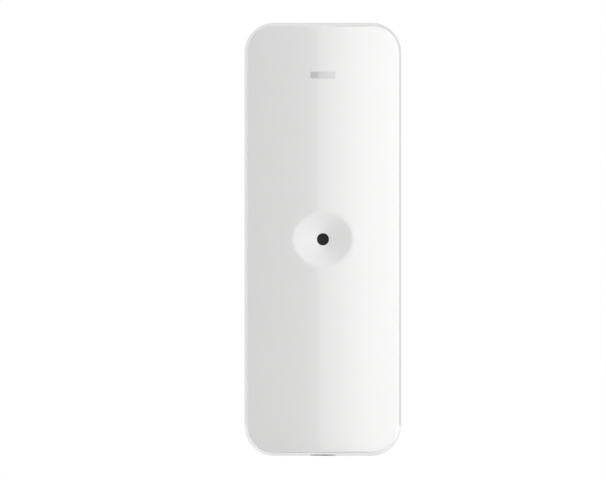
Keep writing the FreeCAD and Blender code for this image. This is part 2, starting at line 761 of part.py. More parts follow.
def cut_hook_pockets(body):
    """Two blind pockets inside the top wall, where the rear cover's hooks catch."""
    width = "sizes.hook_width + 2 * sizes.hook_gap"
    front = "sizes.parting_depth + sizes.lip_reach + sizes.hook_gap"
    rear = f"{front} - sizes.hook_thickness - 2 * sizes.hook_gap"
    level = "sizes.body_height / 2 - sizes.front_wall - sizes.lip_gap"
    outline = new_sketch(body, "hook_pocket_outline", "XZ_Plane", rear)
    top = f"{level} + sizes.hook_reach + sizes.hook_gap"
    draw_rectangle(
        outline,
        f"sizes.hook_spacing / 2 - ({width}) / 2",
        f"sizes.hook_spacing / 2 + ({width}) / 2",
        f"{level} - sizes.cut_margin",
        top,
    )
    cut = pocket(body, outline, "hook_pocket", f"{front} - ({rear})", along=True)
    mirrored(body, "hook_pockets", [cut], "YZ_Plane")


# Rear cover

def make_rear_cover():
    body = new_body("rear_cover")
    width = "sizes.body_width - 2 * sizes.rear_setback"
    height = "sizes.body_height - 2 * sizes.rear_setback"
    outline = new_sketch(body, "rim_outline", "XZ_Plane", "sizes.parting_depth")
    draw_rounded_rectangle(outline, width, height, "sizes.corner_radius - sizes.rear_setback")
    pad(body, outline, "plate", "sizes.parting_depth", against=True, taper="-sizes.rear_draft")
    near_wall = -value("sizes.rear_floor") / 4
    chamfer(body, "wall_edge", "sizes.rear_edge", lambda middle, box: box.YMin > near_wall)

    lip_width = f"{INNER_WIDTH} - 2 * sizes.lip_gap"
    lip_height = f"{INNER_HEIGHT} - 2 * sizes.lip_gap"
    lip_corner = f"{INNER_CORNER} - sizes.lip_gap"
    inside_width = f"{lip_width} - 2 * sizes.lip_wall"
    inside_height = f"{lip_height} - 2 * sizes.lip_wall"
    inside_corner = f"{lip_corner} - sizes.lip_wall"
    lip = new_sketch(body, "lip_outline", "XZ_Plane", "sizes.parting_depth")
    draw_rounded_rectangle(lip, lip_width, lip_height, lip_corner)
    pad(body, lip, "lip", "sizes.lip_reach")
    tray = new_sketch(body, "tray_outline", "XZ_Plane", "sizes.rear_floor")
    draw_rounded_rectangle(tray, inside_width, inside_height, inside_corner)
    pocket(body, tray, "tray", "sizes.parting_depth - sizes.rear_floor + sizes.lip_reach", along=True)

    add_hooks(body)
    add_case_tower(body)
    add_cell_saddles(body)
    add_wall_holes(body)
    add_tamper_tab(body)
    cut_tape_recess(body)
    return body


def cut_tape_recess(body):
    """A shallow recess in the face against the wall, for a pad of mounting tape."""
    outline = new_sketch(body, "tape_recess_outline", "XZ_Plane")
    draw_rounded_rectangle(
        outline,
        "sizes.tape_recess_width",
        "sizes.tape_recess_height",
        "sizes.tape_recess_corner",
        up="sizes.tape_recess_level",
    )
    pocket(body, outline, "tape_recess", "sizes.tape_recess_depth", along=True)


def add_hooks(body):
    """Two hooks on the top of the lip."""
    front = "sizes.parting_depth + sizes.lip_reach"
    level = f"({INNER_HEIGHT}) / 2 - sizes.lip_gap"
    outline = new_sketch(body, "hook_outline", "XZ_Plane", f"{front} - sizes.hook_thickness")
    draw_rectangle(
        outline,
        "sizes.hook_spacing / 2 - sizes.hook_width / 2",
        "sizes.hook_spacing / 2 + sizes.hook_width / 2",
        f"{level} - sizes.lip_wall / 2",
        f"{level} + sizes.hook_reach",
    )
    hook = pad(body, outline, "hook", "sizes.hook_thickness")
    mirrored(body, "hooks", [hook], "YZ_Plane")


def add_case_tower(body):
    """The lip is open round the screw's boss, and a tower with the screw's bore stands above the gap."""
    boss_diameter = "sizes.case_recess_diameter + 2 * sizes.case_boss_wall"
    gap = new_sketch(body, "lip_gap_outline", "XZ_Plane", "sizes.parting_depth")
    draw_rectangle(
        gap,
        f"-({boss_diameter}) / 2 - sizes.lip_gap",
        f"({boss_diameter}) / 2 + sizes.lip_gap",
        "-sizes.body_height / 2",
        f"-({CASE_BOSS_LEVEL}) + sizes.case_tower_gap",
    )
    pocket(body, gap, "lip_gap", "sizes.lip_reach + sizes.cut_margin", along=True)
    foot = f"-({CASE_BOSS_LEVEL}) + sizes.case_tower_gap"
    tower = new_sketch(body, "tower_outline", "XZ_Plane", "sizes.rear_floor / 2")
    draw_rectangle(
        tower,
        "-sizes.case_tower_width / 2",
        "sizes.case_tower_width / 2",
        foot,
        f"{foot} + sizes.case_tower_height",
    )
    pad(body, tower, "tower", "sizes.case_tower_front - sizes.rear_floor / 2")
    bore = new_sketch(body, "tower_bore_outline", "XY_Plane", f"{foot} - sizes.cut_margin")
    draw_circle(bore, "sizes.case_screw_diameter + 2 * sizes.case_thread_gap", up="-sizes.case_screw_depth")
    pocket(body, bore, "tower_bore", "sizes.case_tower_height + 2 * sizes.cut_margin", along=True)


def add_cell_saddles(body):
    """Two cross ribs with round hollows, just clear of the cell."""
    cell_middle = f"{CELL_TOP} - {CELL_LENGTH} / 2"
    lower = f"{cell_middle} - sizes.saddle_spacing / 2 - sizes.saddle_thickness / 2"
    outline = new_sketch(body, "saddle_outline", "XY_Plane", lower)
    draw_rectangle(
        outline,
        "-sizes.saddle_width / 2",
        "sizes.saddle_width / 2",
        "-sizes.saddle_top",
        "-sizes.rear_floor / 2",
    )
    rib = pad(body, outline, "saddle", "sizes.saddle_thickness")
    row_of(body, "saddles", [rib], "Z_Axis", "sizes.saddle_spacing", "2")
    hollow = new_sketch(body, "saddle_hollow_outline", "XY_Plane", CELL_TOP)
    draw_circle(hollow, f"{CELL_DIAMETER} + 2 * sizes.saddle_gap", up=f"-{CELL_AXIS_DEPTH}")
    pocket(body, hollow, "saddle_hollow", CELL_LENGTH)


def add_wall_holes(body):
    """Four holes for wall screws through the floor."""
    across = "sizes.body_width / 2 - sizes.wall_hole_from_side"
    up = "sizes.body_height / 2 - sizes.wall_hole_from_end"
    hole = new_sketch(body, "wall_hole_outline", "XZ_Plane")
    draw_circle(hole, "sizes.wall_hole_diameter", across, up)
    cut = pocket(body, hole, "wall_hole", "sizes.rear_floor", along=True)
    mirrored_twice(body, "wall_holes", [cut], ["YZ_Plane", "XY_Plane"])


def add_tamper_tab(body):
    """A tab on thin bridges, which stays on its screw if the sensor is torn off, and its switch post."""
    slot = new_sketch(body, "tab_slot_outline", "XZ_Plane")
    outer_width = "sizes.tab_width + 2 * sizes.tab_slot"
    outer_height = "sizes.tab_height + 2 * sizes.tab_slot"
    draw_centred_rectangle(slot, "sizes.tab_width", "sizes.tab_height", up="sizes.tab_level")
    draw_centred_rectangle(slot, outer_width, outer_height, up="sizes.tab_level")
    pocket(body, slot, "tab_slot", "sizes.rear_floor", along=True)
    bridges = new_sketch(body, "tab_bridge_outline", "XZ_Plane", "sizes.rear_floor")
    length, width = "sizes.tab_slot * 3 / 2", "sizes.tab_bridge_width"
    for side in ("1", "-1"):
        across = f"{side} * (sizes.tab_width + sizes.tab_slot) / 2"
        draw_centred_rectangle(bridges, length, width, across=across, up="sizes.tab_level")
        up = f"sizes.tab_level + {side} * (sizes.tab_height + sizes.tab_slot) / 2"
        draw_centred_rectangle(bridges, width, length, up=up)
    pad(body, bridges, "tab_bridges", "sizes.tab_bridge_thickness", against=True)
    post = new_sketch(body, "post_outline", "XZ_Plane", "sizes.rear_floor / 2")
    draw_circle(post, "sizes.post_diameter", up=POST_LEVEL)
    tip = f"{SWITCH_TOP} - sizes.tamper_plunger_reach - sizes.post_gap"
    pad(body, post, "tamper_post", f"{tip} - sizes.rear_floor / 2")
    hole = new_sketch(body, "tab_hole_outline", "XZ_Plane")
    draw_circle(hole, "sizes.wall_hole_diameter", up="sizes.tab_level - sizes.tab_hole_below_centre")
    pocket(body, hole, "tab_hole", "sizes.rear_floor", along=True)


# Indicator and sound port

def make_light_pipe():
    """A clear window flush with the crowned face, a flange behind the wall and a stem towards the lamp."""
    body = new_body("light_pipe")
    head_width = "sizes.window_width - 2 * sizes.window_gap"
    head_height = "sizes.window_height - 2 * sizes.window_gap"
    corner = crown_drop("sizes.window_width / 2 + sizes.pipe_flange")
    flange_front = f"sizes.body_depth - sizes.front_wall - {corner} - sizes.window_gap"
    flange_rear = f"{flange_front} - sizes.pipe_flange_thickness"
    stem_rear = f"{BOARD_FRONT} + sizes.led_height + sizes.pipe_led_gap"
    head = new_sketch(body, "head_outline", "XZ_Plane", flange_rear)
    draw_centred_rectangle(head, head_width, head_height, up=WINDOW_LEVEL)
    pad(body, head, "head", f"sizes.body_depth + sizes.cut_margin - ({flange_rear})")
    cut_crown(body, "head_crown", "sizes.crown_radius")
    flange = new_sketch(body, "flange_outline", "XZ_Plane", flange_rear)
    draw_centred_rectangle(
        flange,
        "sizes.window_width + 2 * sizes.pipe_flange",
        "sizes.window_height + 2 * sizes.pipe_flange",
        up=WINDOW_LEVEL,
    )
    pad(body, flange, "flange", "sizes.pipe_flange_thickness")
    stem = new_sketch(body, "stem_outline", "XZ_Plane", flange_rear)
    draw_centred_rectangle(stem, "sizes.pipe_stem_width", "sizes.pipe_stem_height", up=WINDOW_LEVEL)
    pad(body, stem, "stem", f"{flange_rear} - ({stem_rear})", against=True)
    return body


def disc_node(name, diameter, thickness, front):
    """A flat disc about the sound port's axis, its front face at this depth."""
    disc = doc.addObject("Part::Cylinder", name)
    disc.Label = name
    disc.setExpression("Radius", f"({diameter}) / 2")
    disc.setExpression("Height", thickness)
    disc.Placement = Placement(Vector(0, 0, 0), Rotation(Vector(1, 0, 0), 90))
    disc.setExpression("Placement.Base.y", f"-({front}) + {thickness}")
    return disc


def make_microphone_boot():
    """A rubber sleeve round the capsule, with a lip in front and two sealing beads outside."""
    body = new_body("microphone_boot")
    front = f"{PORT_INNER} - sizes.mesh_thickness"
    outer = f"({BOOT_DIAMETER}) / 2"
    bore = "sizes.capsule_diameter / 2"
    sketch = new_sketch(body, "boot_section", "XY_Plane")
    draw_polygon(
        sketch,
        [
            ("sizes.boot_opening / 2", f"-({front})"),
            (outer, f"-({front})"),
            (outer, f"-({BOARD_FRONT})"),
            (bore, f"-({BOARD_FRONT})"),
            (bore, f"-({front}) + sizes.boot_lip"),
            ("sizes.boot_opening / 2", f"-({front}) + sizes.boot_lip"),
        ],
    )
    revolve(body, sketch, "boot")
    return body


def make_microphone():
    """The electret capsule, a metal can about the port's axis, and its two pins into the board."""
    body = new_body("microphone")
    front = f"{PORT_INNER} - sizes.mesh_thickness - sizes.boot_lip"
    can = new_sketch(body, "capsule_outline", "XZ_Plane", front)
    draw_circle(can, "sizes.capsule_diameter")
    pad(body, can, "capsule", "sizes.capsule_length", against=True)
    pins = new_sketch(body, "pin_outline", "XZ_Plane", BOARD_FRONT)
    for side in ("-1", "1"):
        across = f"{side} * sizes.capsule_pin_spacing / 2"
        draw_centred_rectangle(pins, "sizes.capsule_pin_side", "sizes.capsule_pin_side", across=across)
    pad(body, pins, "pins", f"{front} - sizes.capsule_length / 2 - ({BOARD_FRONT})")
    return body


# Circuit board, cell and contacts

def make_main_board():
    body = new_body("main_board")
    outline = new_sketch(body, "board_outline", "XZ_Plane", "sizes.board_rear")
    draw_rounded_rectangle(outline, BOARD_WIDTH, BOARD_HEIGHT, "sizes.board_corner")
    pad(body, outline, "board", "sizes.board_thickness")
    window = new_sketch(body, "cell_window_outline", "XZ_Plane", "sizes.board_rear")
    draw_centred_rectangle(
        window,
        f"2 * ({HOLDER_OUTER} + sizes.holder_window_gap)",
        f"{HOLDER_LENGTH} + 2 * (sizes.contact_thickness + sizes.holder_window_gap)",
        up=HOLDER_MIDDLE,
    )
    pocket(body, window, "cell_window", "sizes.board_thickness", along=True)
    hole = new_sketch(body, "board_hole_outline", "XZ_Plane", "sizes.board_rear")
    draw_circle(hole, "sizes.board_hole", BOARD_SCREW_ACROSS, BOARD_SCREW_UP)
    cut = pocket(body, hole, "board_hole", "sizes.board_thickness", along=True)
    opposite(body, "board_holes", [cut])
    return body


def make_battery_cell():
    """A sealed lithium can about an upright axis, with its button at the top."""
    body = new_body("battery_cell")
    radius = f"{CELL_DIAMETER} / 2"
    button = "sizes.cell_button_diameter / 2"
    shoulder = f"{CELL_LENGTH} - sizes.cell_button_height"
    sketch = new_sketch(body, "cell_section", "XZ_Plane")
    draw_polygon(
        sketch,
        [
            ("0", "0"),
            (radius, "0"),
            (radius, shoulder),
            (button, shoulder),
            (button, CELL_LENGTH),
            ("0", CELL_LENGTH),
        ],
    )
    revolve(body, sketch, "can")
    body.setExpression("Placement.Base.y", f"-{CELL_AXIS_DEPTH}")
    body.setExpression("Placement.Base.z", CELL_BOTTOM)
    return body


def make_battery_holder():
    """A U trough, open to the rear, with end walls, a flange in front of the board and a thumb notch."""
    body = new_body("battery_holder")
    bottom = f"{HOLDER_BOTTOM_INNER} - sizes.holder_end_wall"
    outer = new_sketch(body, "trough_outline", "XY_Plane", bottom)
    draw_trough(outer, HOLDER_OUTER, f"-{CELL_AXIS_DEPTH}", "-sizes.holder_rear")
    pad(body, outer, "trough", HOLDER_LENGTH)
    flange = new_sketch(body, "flange_outline", "XZ_Plane", BOARD_FRONT)
    draw_centred_rectangle(
        flange, f"2 * ({HOLDER_OUTER} + sizes.holder_flange)", f"{HOLDER_LENGTH}", up=HOLDER_MIDDLE
    )
    pad(body, flange, "flange", "sizes.holder_flange_thickness")
    inner = new_sketch(body, "trough_hollow_outline", "XY_Plane", HOLDER_BOTTOM_INNER)
    draw_trough(inner, HOLDER_BORE, f"-{CELL_AXIS_DEPTH}", "sizes.cut_margin - sizes.holder_rear")
    pocket(body, inner, "trough_hollow", f"{HOLDER_TOP_INNER} - ({HOLDER_BOTTOM_INNER})", along=True)
    notch = new_sketch(body, "notch_outline", "YZ_Plane")
    draw_rectangle(
        notch,
        f"-{CELL_AXIS_DEPTH}",
        "sizes.cut_margin - sizes.holder_rear",
        f"{HOLDER_MIDDLE} - sizes.holder_notch / 2",
        f"{HOLDER_MIDDLE} + sizes.holder_notch / 2",
    )
    pocket(body, notch, "notch", "sizes.body_width", both_ways=True)
    return body


def make_contact(name, inner_level, outwards):
    """A sheet strip inside the holder's end wall, folded over it and led through the board's window.

    outwards is 1 at the top end of the holder and -1 at the bottom end.
    """
    body = new_body(name)
    sheet_metal = f"{outwards} * sizes.contact_thickness"
    beyond = f"{inner_level} + {outwards} * sizes.holder_end_wall"
    inside = f"{inner_level} - {sheet_metal}"
    fold_rear = "sizes.contact_thickness - sizes.holder_rear"
    tail = f"-({BOARD_FRONT}) - sizes.contact_tail"
    front = f"-{CELL_AXIS_DEPTH} - {CELL_DIAMETER} / 4"
    sketch = new_sketch(body, "strip_section", "YZ_Plane")
    draw_polygon(
        sketch,
        [
            (front, inside),
            (fold_rear, inside),
            (fold_rear, f"{beyond} + {sheet_metal}"),
            (tail, f"{beyond} + {sheet_metal}"),
            (tail, beyond),
            ("-sizes.holder_rear", beyond),
            ("-sizes.holder_rear", inner_level),
            (front, inner_level),
        ],
    )
    pad(body, sketch, "strip", "sizes.contact_width", both_ways=True)
    return body


def make_negative_contact():
    """The lower contact: its end is folded back into a springy leaf that rises to the cell's flat end."""
    body = make_contact("negative_contact", HOLDER_BOTTOM_INNER, -1)
    fold = f"-{CELL_AXIS_DEPTH} - {CELL_DIAMETER} / 4"
    crest_front = f"-{CELL_AXIS_DEPTH} - sizes.leaf_crest / 2"
    crest_rear = f"-{CELL_AXIS_DEPTH} + sizes.leaf_crest / 2"
    free_end = f"-{CELL_AXIS_DEPTH} + sizes.leaf_reach"
    free_level = f"{HOLDER_BOTTOM_INNER} + sizes.contact_thickness + sizes.leaf_clearance"
    sketch = new_sketch(body, "leaf_section", "YZ_Plane")
    draw_polygon(
        sketch,
        [
            (fold, HOLDER_BOTTOM_INNER),
            (crest_front, f"{CELL_BOTTOM} - sizes.contact_thickness"),
            (crest_rear, f"{CELL_BOTTOM} - sizes.contact_thickness"),
            (free_end, free_level),
            (free_end, f"{free_level} + sizes.contact_thickness"),
            (crest_rear, CELL_BOTTOM),
            (crest_front, CELL_BOTTOM),
            (fold, f"{HOLDER_BOTTOM_INNER} + sizes.contact_thickness"),
        ],
    )
    pad(body, sketch, "leaf", "sizes.leaf_width", both_ways=True)
    return body


# Screws

def make_screw(name, head_diameter, head_height, shank_diameter, shank_length):
    """A cheese head screw with its shank along -Z from the head's underside, and a cross recess."""
    body = new_body(name)
    head, shank = f"{head_diameter} / 2", f"{shank_diameter} / 2"
    section = new_sketch(body, "screw_section", "XZ_Plane")
    draw_polygon(
        section,
        [
            ("0", f"-{shank_length}"),
            (shank, f"-{shank_length}"),
            (shank, "0"),
            (head, "0"),
            (head, head_height),
            ("0", head_height),
        ],
    )
    revolve(body, section, "screw")
    recess = new_sketch(body, "recess_outline", "XY_Plane", head_height)
    span = f"{head_diameter} * sizes.cross_span / 2"
    arm = f"{span} * sizes.cross_arm_width"
    draw_polygon(
        recess,
        [
            (span, arm), (arm, arm), (arm, span), (f"-{arm}", span), (f"-{arm}", arm), (f"-{span}", arm),
            (f"-{span}", f"-{arm}"), (f"-{arm}", f"-{arm}"), (f"-{arm}", f"-{span}"),
            (arm, f"-{span}"), (arm, f"-{arm}"), (span, f"-{arm}"),
        ],
    )
    pocket(body, recess, "recess", f"{head_height} * sizes.cross_depth")
    return body


def make_board_screws():
    """Two like screws: one is drawn and copied to the board's opposite corner."""
    master = make_screw(
        "board_screw",
        "sizes.board_head_diameter",
        "sizes.board_head_height",
        "sizes.board_screw_diameter",
        "sizes.board_screw_length",
    )
    group = doc.addObject("Part::Feature", "board_screws")
    group.Label = "board_screws"
    across, up = value(BOARD_SCREW_ACROSS), value(BOARD_SCREW_UP)
    depth = value("sizes.board_rear")
    turned = Rotation(Vector(1, 0, 0), -90)
    screws = []
    for side in (-1, 1):
        screw = master.Shape.copy()
        screw.Placement = Placement(Vector(side * across, -depth, side * up), turned)
        screws.append(screw)
    group.Shape = Part.makeCompound(screws)
    return group


def make_case_screw():
    body = make_screw(
        "case_screw",
        "sizes.case_head_diameter",
        "sizes.case_head_height",
        "sizes.case_screw_diameter",
        "sizes.case_screw_length",
    )
    body.Placement = Placement(Vector(0, 0, 0), Rotation(Vector(1, 0, 0), 180))
    body.setExpression("Placement.Base.y", "-sizes.case_screw_depth")
    body.setExpression("Placement.Base.z", f"-({CASE_LEDGE_LEVEL})")
    return body


# Push switches

def make_switch(name, across, level):
    """A square switch with a round bore for its plunger and four leads."""
    body = new_body(name)
    base = new_sketch(body, "switch_outline", "XY_Plane")
    draw_centred_rectangle(base, "sizes.switch_side", "sizes.switch_side")
    pad(body, base, "case", "sizes.switch_height")
    bore = new_sketch(body, "bore_outline", "XY_Plane", "sizes.switch_height")
    draw_circle(bore, "sizes.plunger_diameter + 2 * sizes.plunger_gap")
    pocket(body, bore, "bore", "sizes.switch_bore_depth")
    lead = new_sketch(body, "lead_outline", "XY_Plane")
    draw_rectangle(
        lead,
        "sizes.switch_side / 2 - sizes.switch_lead_thickness",
        "sizes.switch_side / 2 + sizes.switch_lead_reach",
        "(sizes.switch_lead_spacing - sizes.switch_lead_width) / 2",
        "(sizes.switch_lead_spacing + sizes.switch_lead_width) / 2",
    )
    leads = pad(body, lead, "lead", "sizes.switch_lead_thickness")
    mirrored_twice(body, "leads", [leads], ["YZ_Plane", "XZ_Plane"])
    on_board(body, across, level, "rear")
    return body


def make_plunger(name, reach, across, level):
    """A round plunger that slides in its switch."""
    body = new_body(name)
    outline = new_sketch(body, "plunger_outline", "XY_Plane", "sizes.switch_height - sizes.plunger_inside")
    draw_circle(outline, "sizes.plunger_diameter")
    pad(body, outline, "plunger", f"sizes.plunger_inside + {reach}")
    on_board(body, across, level, "rear")
    return body


# Parts on the board

def make_chip(name, width, length, height):
    """A moulded block that stands just clear of the board."""
    body = new_body(name)
    outline = new_sketch(body, "chip_outline", "XY_Plane", "sizes.chip_standoff")
    draw_centred_rectangle(outline, width, length)
    pad(body, outline, "moulding", height)
    return body


def add_lead_rows(body, name, span, height, pitch, count, plane, axis, flip_plane):
    """One lead, sloped down to its foot on the board, in a row on two opposite sides of the chip.

    The lead's section lies on the plane, and the row runs along the axis across it. XZ_Plane looks
    towards -Y, so its offset has the other sign.
    """
    first = f"({pitch}) * ({count} - 1) / 2"
    offset = first if plane == "XZ_Plane" else f"-{first}"
    middle = f"(sizes.chip_standoff + {height} / 2)"
    edge = f"{span} / 2 - sizes.lead_thickness"
    bend = f"{span} / 2 + sizes.lead_reach"
    section = new_sketch(body, f"{name}_section", plane, offset)
    draw_polygon(
        section,
        [
            (edge, f"{middle} - sizes.lead_thickness"),
            (f"{span} / 2", f"{middle} - sizes.lead_thickness"),
            (bend, "0"),
            (f"{bend} + sizes.lead_foot", "0"),
            (f"{bend} + sizes.lead_foot", "sizes.lead_thickness"),
            (f"{bend} + sizes.lead_thickness", "sizes.lead_thickness"),
            (f"{span} / 2 + sizes.lead_thickness", middle),
            (edge, middle),
        ],
    )
    lead = pad(body, section, name, "sizes.lead_width", both_ways=True)
    rows_on_both_sides(body, f"{name}s", [lead], axis, pitch, count, flip_plane)


def make_microcontroller():
    """A square chip with leads on all four sides."""
    side, height = "sizes.controller_side", "sizes.controller_height"
    pitch, count = "sizes.controller_pitch", "sizes.controller_lead_count"
    body = make_chip("microcontroller", side, side, height)
    add_lead_rows(body, "side_lead", side, height, pitch, count, "XZ_Plane", "Y_Axis", "YZ_Plane")
    add_lead_rows(body, "end_lead", side, height, pitch, count, "YZ_Plane", "X_Axis", "XZ_Plane")
    on_board(body, CONTROLLER_ACROSS, "sizes.controller_level", "rear")
    return body


def make_audio_amplifier():
    """A long chip with leads on its two long sides."""
    width, height = "sizes.amplifier_width", "sizes.amplifier_height"
    pitch, count = "sizes.amplifier_pitch", "sizes.amplifier_lead_count"
    body = make_chip("audio_amplifier", width, "sizes.amplifier_length", height)
    add_lead_rows(body, "lead", width, height, pitch, count, "XZ_Plane", "Y_Axis", "YZ_Plane")
    on_board(body, "0", "sizes.amplifier_level", "front")
    return body


def make_small_chips(name, height, places):
    """Like small chips that lie flat on the board's front, each a solid of its own.

    Each place is the distance across, the level, and whether the chip stands upright.
    """
    body = new_body(name)
    outline = new_sketch(body, "outlines", "XY_Plane")
    length, width = "sizes.small_chip_length", "sizes.small_chip_width"
    for across, level, upright in places:
        size = (width, length) if upright else (length, width)
        draw_centred_rectangle(outline, *size, across=across, up=level)
    pad(body, outline, "chips", height)
    on_board(body, "0", "0", "front")
    return body


def make_chip_resistors():
    """Two beside the lamp, and four round the amplifier."""
    across = "(sizes.amplifier_width / 2 + sizes.resistor_beside_amplifier)"
    above = "sizes.amplifier_level + sizes.resistor_above_middle"
    below = "sizes.amplifier_level - sizes.resistor_below_middle"
    by_lamp = f"{WINDOW_LEVEL} - sizes.resistor_below_lamp"
    places = []
    for side in ("-1", "1"):
        places.append((f"{side} * sizes.resistor_beside_lamp", by_lamp, False))
        places.append((f"{side} * {across}", above, False))
        places.append((f"{side} * {across}", below, True))
    return make_small_chips("chip_resistors", "sizes.resistor_height", places)


def make_chip_capacitors():
    """Four round the amplifier, and two beside the antenna's feet."""
    across = "(sizes.amplifier_width / 2 + sizes.capacitor_beside_amplifier)"
    below = "sizes.amplifier_level - sizes.capacitor_below_middle"
    by_antenna = f"({ANTENNA_SPAN} / 2 + sizes.capacitor_beside_antenna)"
    places = []
    for side in ("-1", "1"):
        places.append((f"{side} * {across}", "sizes.amplifier_level", True))
        places.append((f"{side} * {across}", below, True))
        places.append((f"{side} * {by_antenna}", "sizes.antenna_low_level", False))
    return make_small_chips("chip_capacitors", "sizes.small_capacitor_height", places)


def make_status_led():
    """A lamp behind the light pipe: a flat base and a clear lens."""
    body = new_body("status_led")
    base = new_sketch(body, "base_outline", "XY_Plane")
    draw_centred_rectangle(base, "sizes.led_length", "sizes.led_width")
    pad(body, base, "base", "sizes.led_height / 2")
    lens = new_sketch(body, "lens_outline", "XY_Plane")
    draw_centred_rectangle(lens, "sizes.led_lens_length", "sizes.led_lens_width")
    pad(body, lens, "lens", "sizes.led_height")
    on_board(body, "0", WINDOW_LEVEL, "front")
    return body


def make_crystal():
    """A metal can with rounded ends on a thin rim."""
    body = new_body("crystal")
    length = "sizes.crystal_length + 2 * sizes.crystal_rim"
    width = "sizes.crystal_width + 2 * sizes.crystal_rim"
    base = new_sketch(body, "base_outline", "XY_Plane")
    draw_rounded_rectangle(base, length, width, f"({width}) * sizes.crystal_end_share")
    pad(body, base, "base", "sizes.crystal_rim_thickness")
    can = new_sketch(body, "can_outline", "XY_Plane", "sizes.crystal_rim_thickness")
    corner = "sizes.crystal_width * sizes.crystal_end_share"
    draw_rounded_rectangle(can, "sizes.crystal_length", "sizes.crystal_width", corner)
    pad(body, can, "can", "sizes.crystal_height")
    on_board(body, "0", f"{WINDOW_LEVEL} - sizes.crystal_below_window", "front")
    return body


def make_capacitors():
    """Two aluminium cans on square plastic feet, one each side of the board's middle."""
    body = new_body("capacitors")
    across = f"{BOARD_WIDTH} / 2 - sizes.capacitor_from_side"
    foot = new_sketch(body, "foot_outline", "XY_Plane")
    draw_centred_rectangle(foot, "sizes.capacitor_foot_side", "sizes.capacitor_foot_side", across=across)
    feet = pad(body, foot, "foot", "sizes.capacitor_foot_thickness")
    can = new_sketch(body, "can_outline", "XY_Plane", "sizes.capacitor_foot_thickness")
    draw_circle(can, "sizes.capacitor_diameter", across=across)
    cans = pad(body, can, "can", "sizes.capacitor_height")
    mirrored(body, "pair", [feet, cans], "YZ_Plane")
    on_board(body, "0", "sizes.capacitor_level", "front")
    return body


def make_header_pins():
    """A plastic strip with square pins in a row."""
    body = new_body("header_pins")
    strip = new_sketch(body, "strip_outline", "XY_Plane")
    draw_centred_rectangle(strip, "sizes.header_pitch * sizes.header_count", "sizes.header_pitch")
    pad(body, strip, "strip", "sizes.header_strip_height")
    outline = new_sketch(body, "pin_outline", "XY_Plane")
    first_across = "-sizes.header_pitch * (sizes.header_count - 1) / 2"
    draw_centred_rectangle(outline, "sizes.header_pin_side", "sizes.header_pin_side", across=first_across)
    first = pad(body, outline, "pin", "sizes.header_pin_height")
    row_of(body, "pins", [first], "X_Axis", "sizes.header_pitch", "sizes.header_count")
    on_board(body, "0", f"{WINDOW_LEVEL} - sizes.header_below_window", "front")
    return body


def make_radio_board():
    """A small board with half round contacts along both long edges."""
    body = new_body("radio_board")
    outline = new_sketch(body, "outline", "XY_Plane")
    draw_centred_rectangle(outline, "sizes.radio_width", "sizes.radio_height")
    pad(body, outline, "board", "sizes.radio_thickness")
    pitch, count = "sizes.radio_contact_pitch", "sizes.radio_contact_count"
    lowest = f"-{pitch} * ({count} - 1) / 2"
    notch = new_sketch(body, "contact_outline", "XY_Plane")
    draw_circle(notch, "sizes.radio_contact_diameter", across="sizes.radio_width / 2", up=lowest)
    cut = pocket(body, notch, "contact", "sizes.radio_thickness", along=True)
    rows_on_both_sides(body, "contacts", [cut], "Y_Axis", pitch, count, "YZ_Plane")
    on_board(body, RADIO_ACROSS, "sizes.radio_level", "rear")
    return body


def make_radio_shield():
    """A folded metal can, open towards the radio board."""
    body = new_body("radio_shield")
    width = "sizes.radio_width - 2 * sizes.shield_margin"
    length = "sizes.radio_height - 2 * sizes.shield_margin"
    corner = "2 * sizes.shield_wall"
    outline = new_sketch(body, "can_outline", "XY_Plane", "sizes.radio_thickness")
    draw_rounded_rectangle(outline, width, length, corner)
    pad(body, outline, "can", "sizes.shield_height")
    hollow = new_sketch(body, "hollow_outline", "XY_Plane", "sizes.radio_thickness")
    draw_centred_rectangle(hollow, f"{width} - 2 * sizes.shield_wall", f"{length} - 2 * sizes.shield_wall")
    pocket(body, hollow, "hollow", "sizes.shield_height - sizes.shield_wall", along=True)
    on_board(body, RADIO_ACROSS, "sizes.radio_level", "rear")
    return body


def make_antenna():
    """A stamped strip: a U that lies in front of the board, on two feet that stand on it."""
    body = new_body("antenna")
    outer = f"({ANTENNA_SPAN} + sizes.antenna_width) / 2"
    inner = f"({ANTENNA_SPAN} - sizes.antenna_width) / 2"
    low, high = "sizes.antenna_low_level", f"({WINDOW_LEVEL} - sizes.antenna_below_window)"
    under = f"{high} - sizes.antenna_width"
    strip = new_sketch(body, "strip_outline", "XZ_Plane", f"{BOARD_FRONT} + sizes.antenna_standoff")
    draw_polygon(
        strip,
        [
            (f"-{outer}", low),
            (f"-{inner}", low),
            (f"-{inner}", under),
            (inner, under),
            (inner, low),
            (outer, low),
            (outer, high),
            (f"-{outer}", high),
        ],
    )
    pad(body, strip, "strip", "sizes.antenna_thickness", against=True)
    width, top = value("sizes.antenna_width"), value(high)
    half_span = value(ANTENNA_SPAN) / 2

    def runs_through(box):
        return box.XLength + box.ZLength < width / 100

    def is_outer_corner(middle, box):
        return runs_through(box) and middle.z > top - width / 2

    def is_inner_corner(middle, box):
        below_bar = top - 3 * width / 2 < middle.z < top - width / 2
        return runs_through(box) and below_bar and abs(middle.x) < half_span

    fillet(body, "outer_bends", "sizes.antenna_bend", is_outer_corner)
    fillet(body, "inner_bends", "sizes.antenna_bend - sizes.antenna_width", is_inner_corner)
    feet = new_sketch(body, "foot_outline", "XZ_Plane", BOARD_FRONT)
    for side in ("-1", "1"):
        draw_centred_rectangle(
            feet,
            "sizes.antenna_width",
            "sizes.antenna_thickness",
            across=f"{side} * {ANTENNA_SPAN} / 2",
            up=f"{low} + sizes.antenna_thickness / 2",
        )
    pad(body, feet, "feet", "sizes.antenna_standoff")
    return body


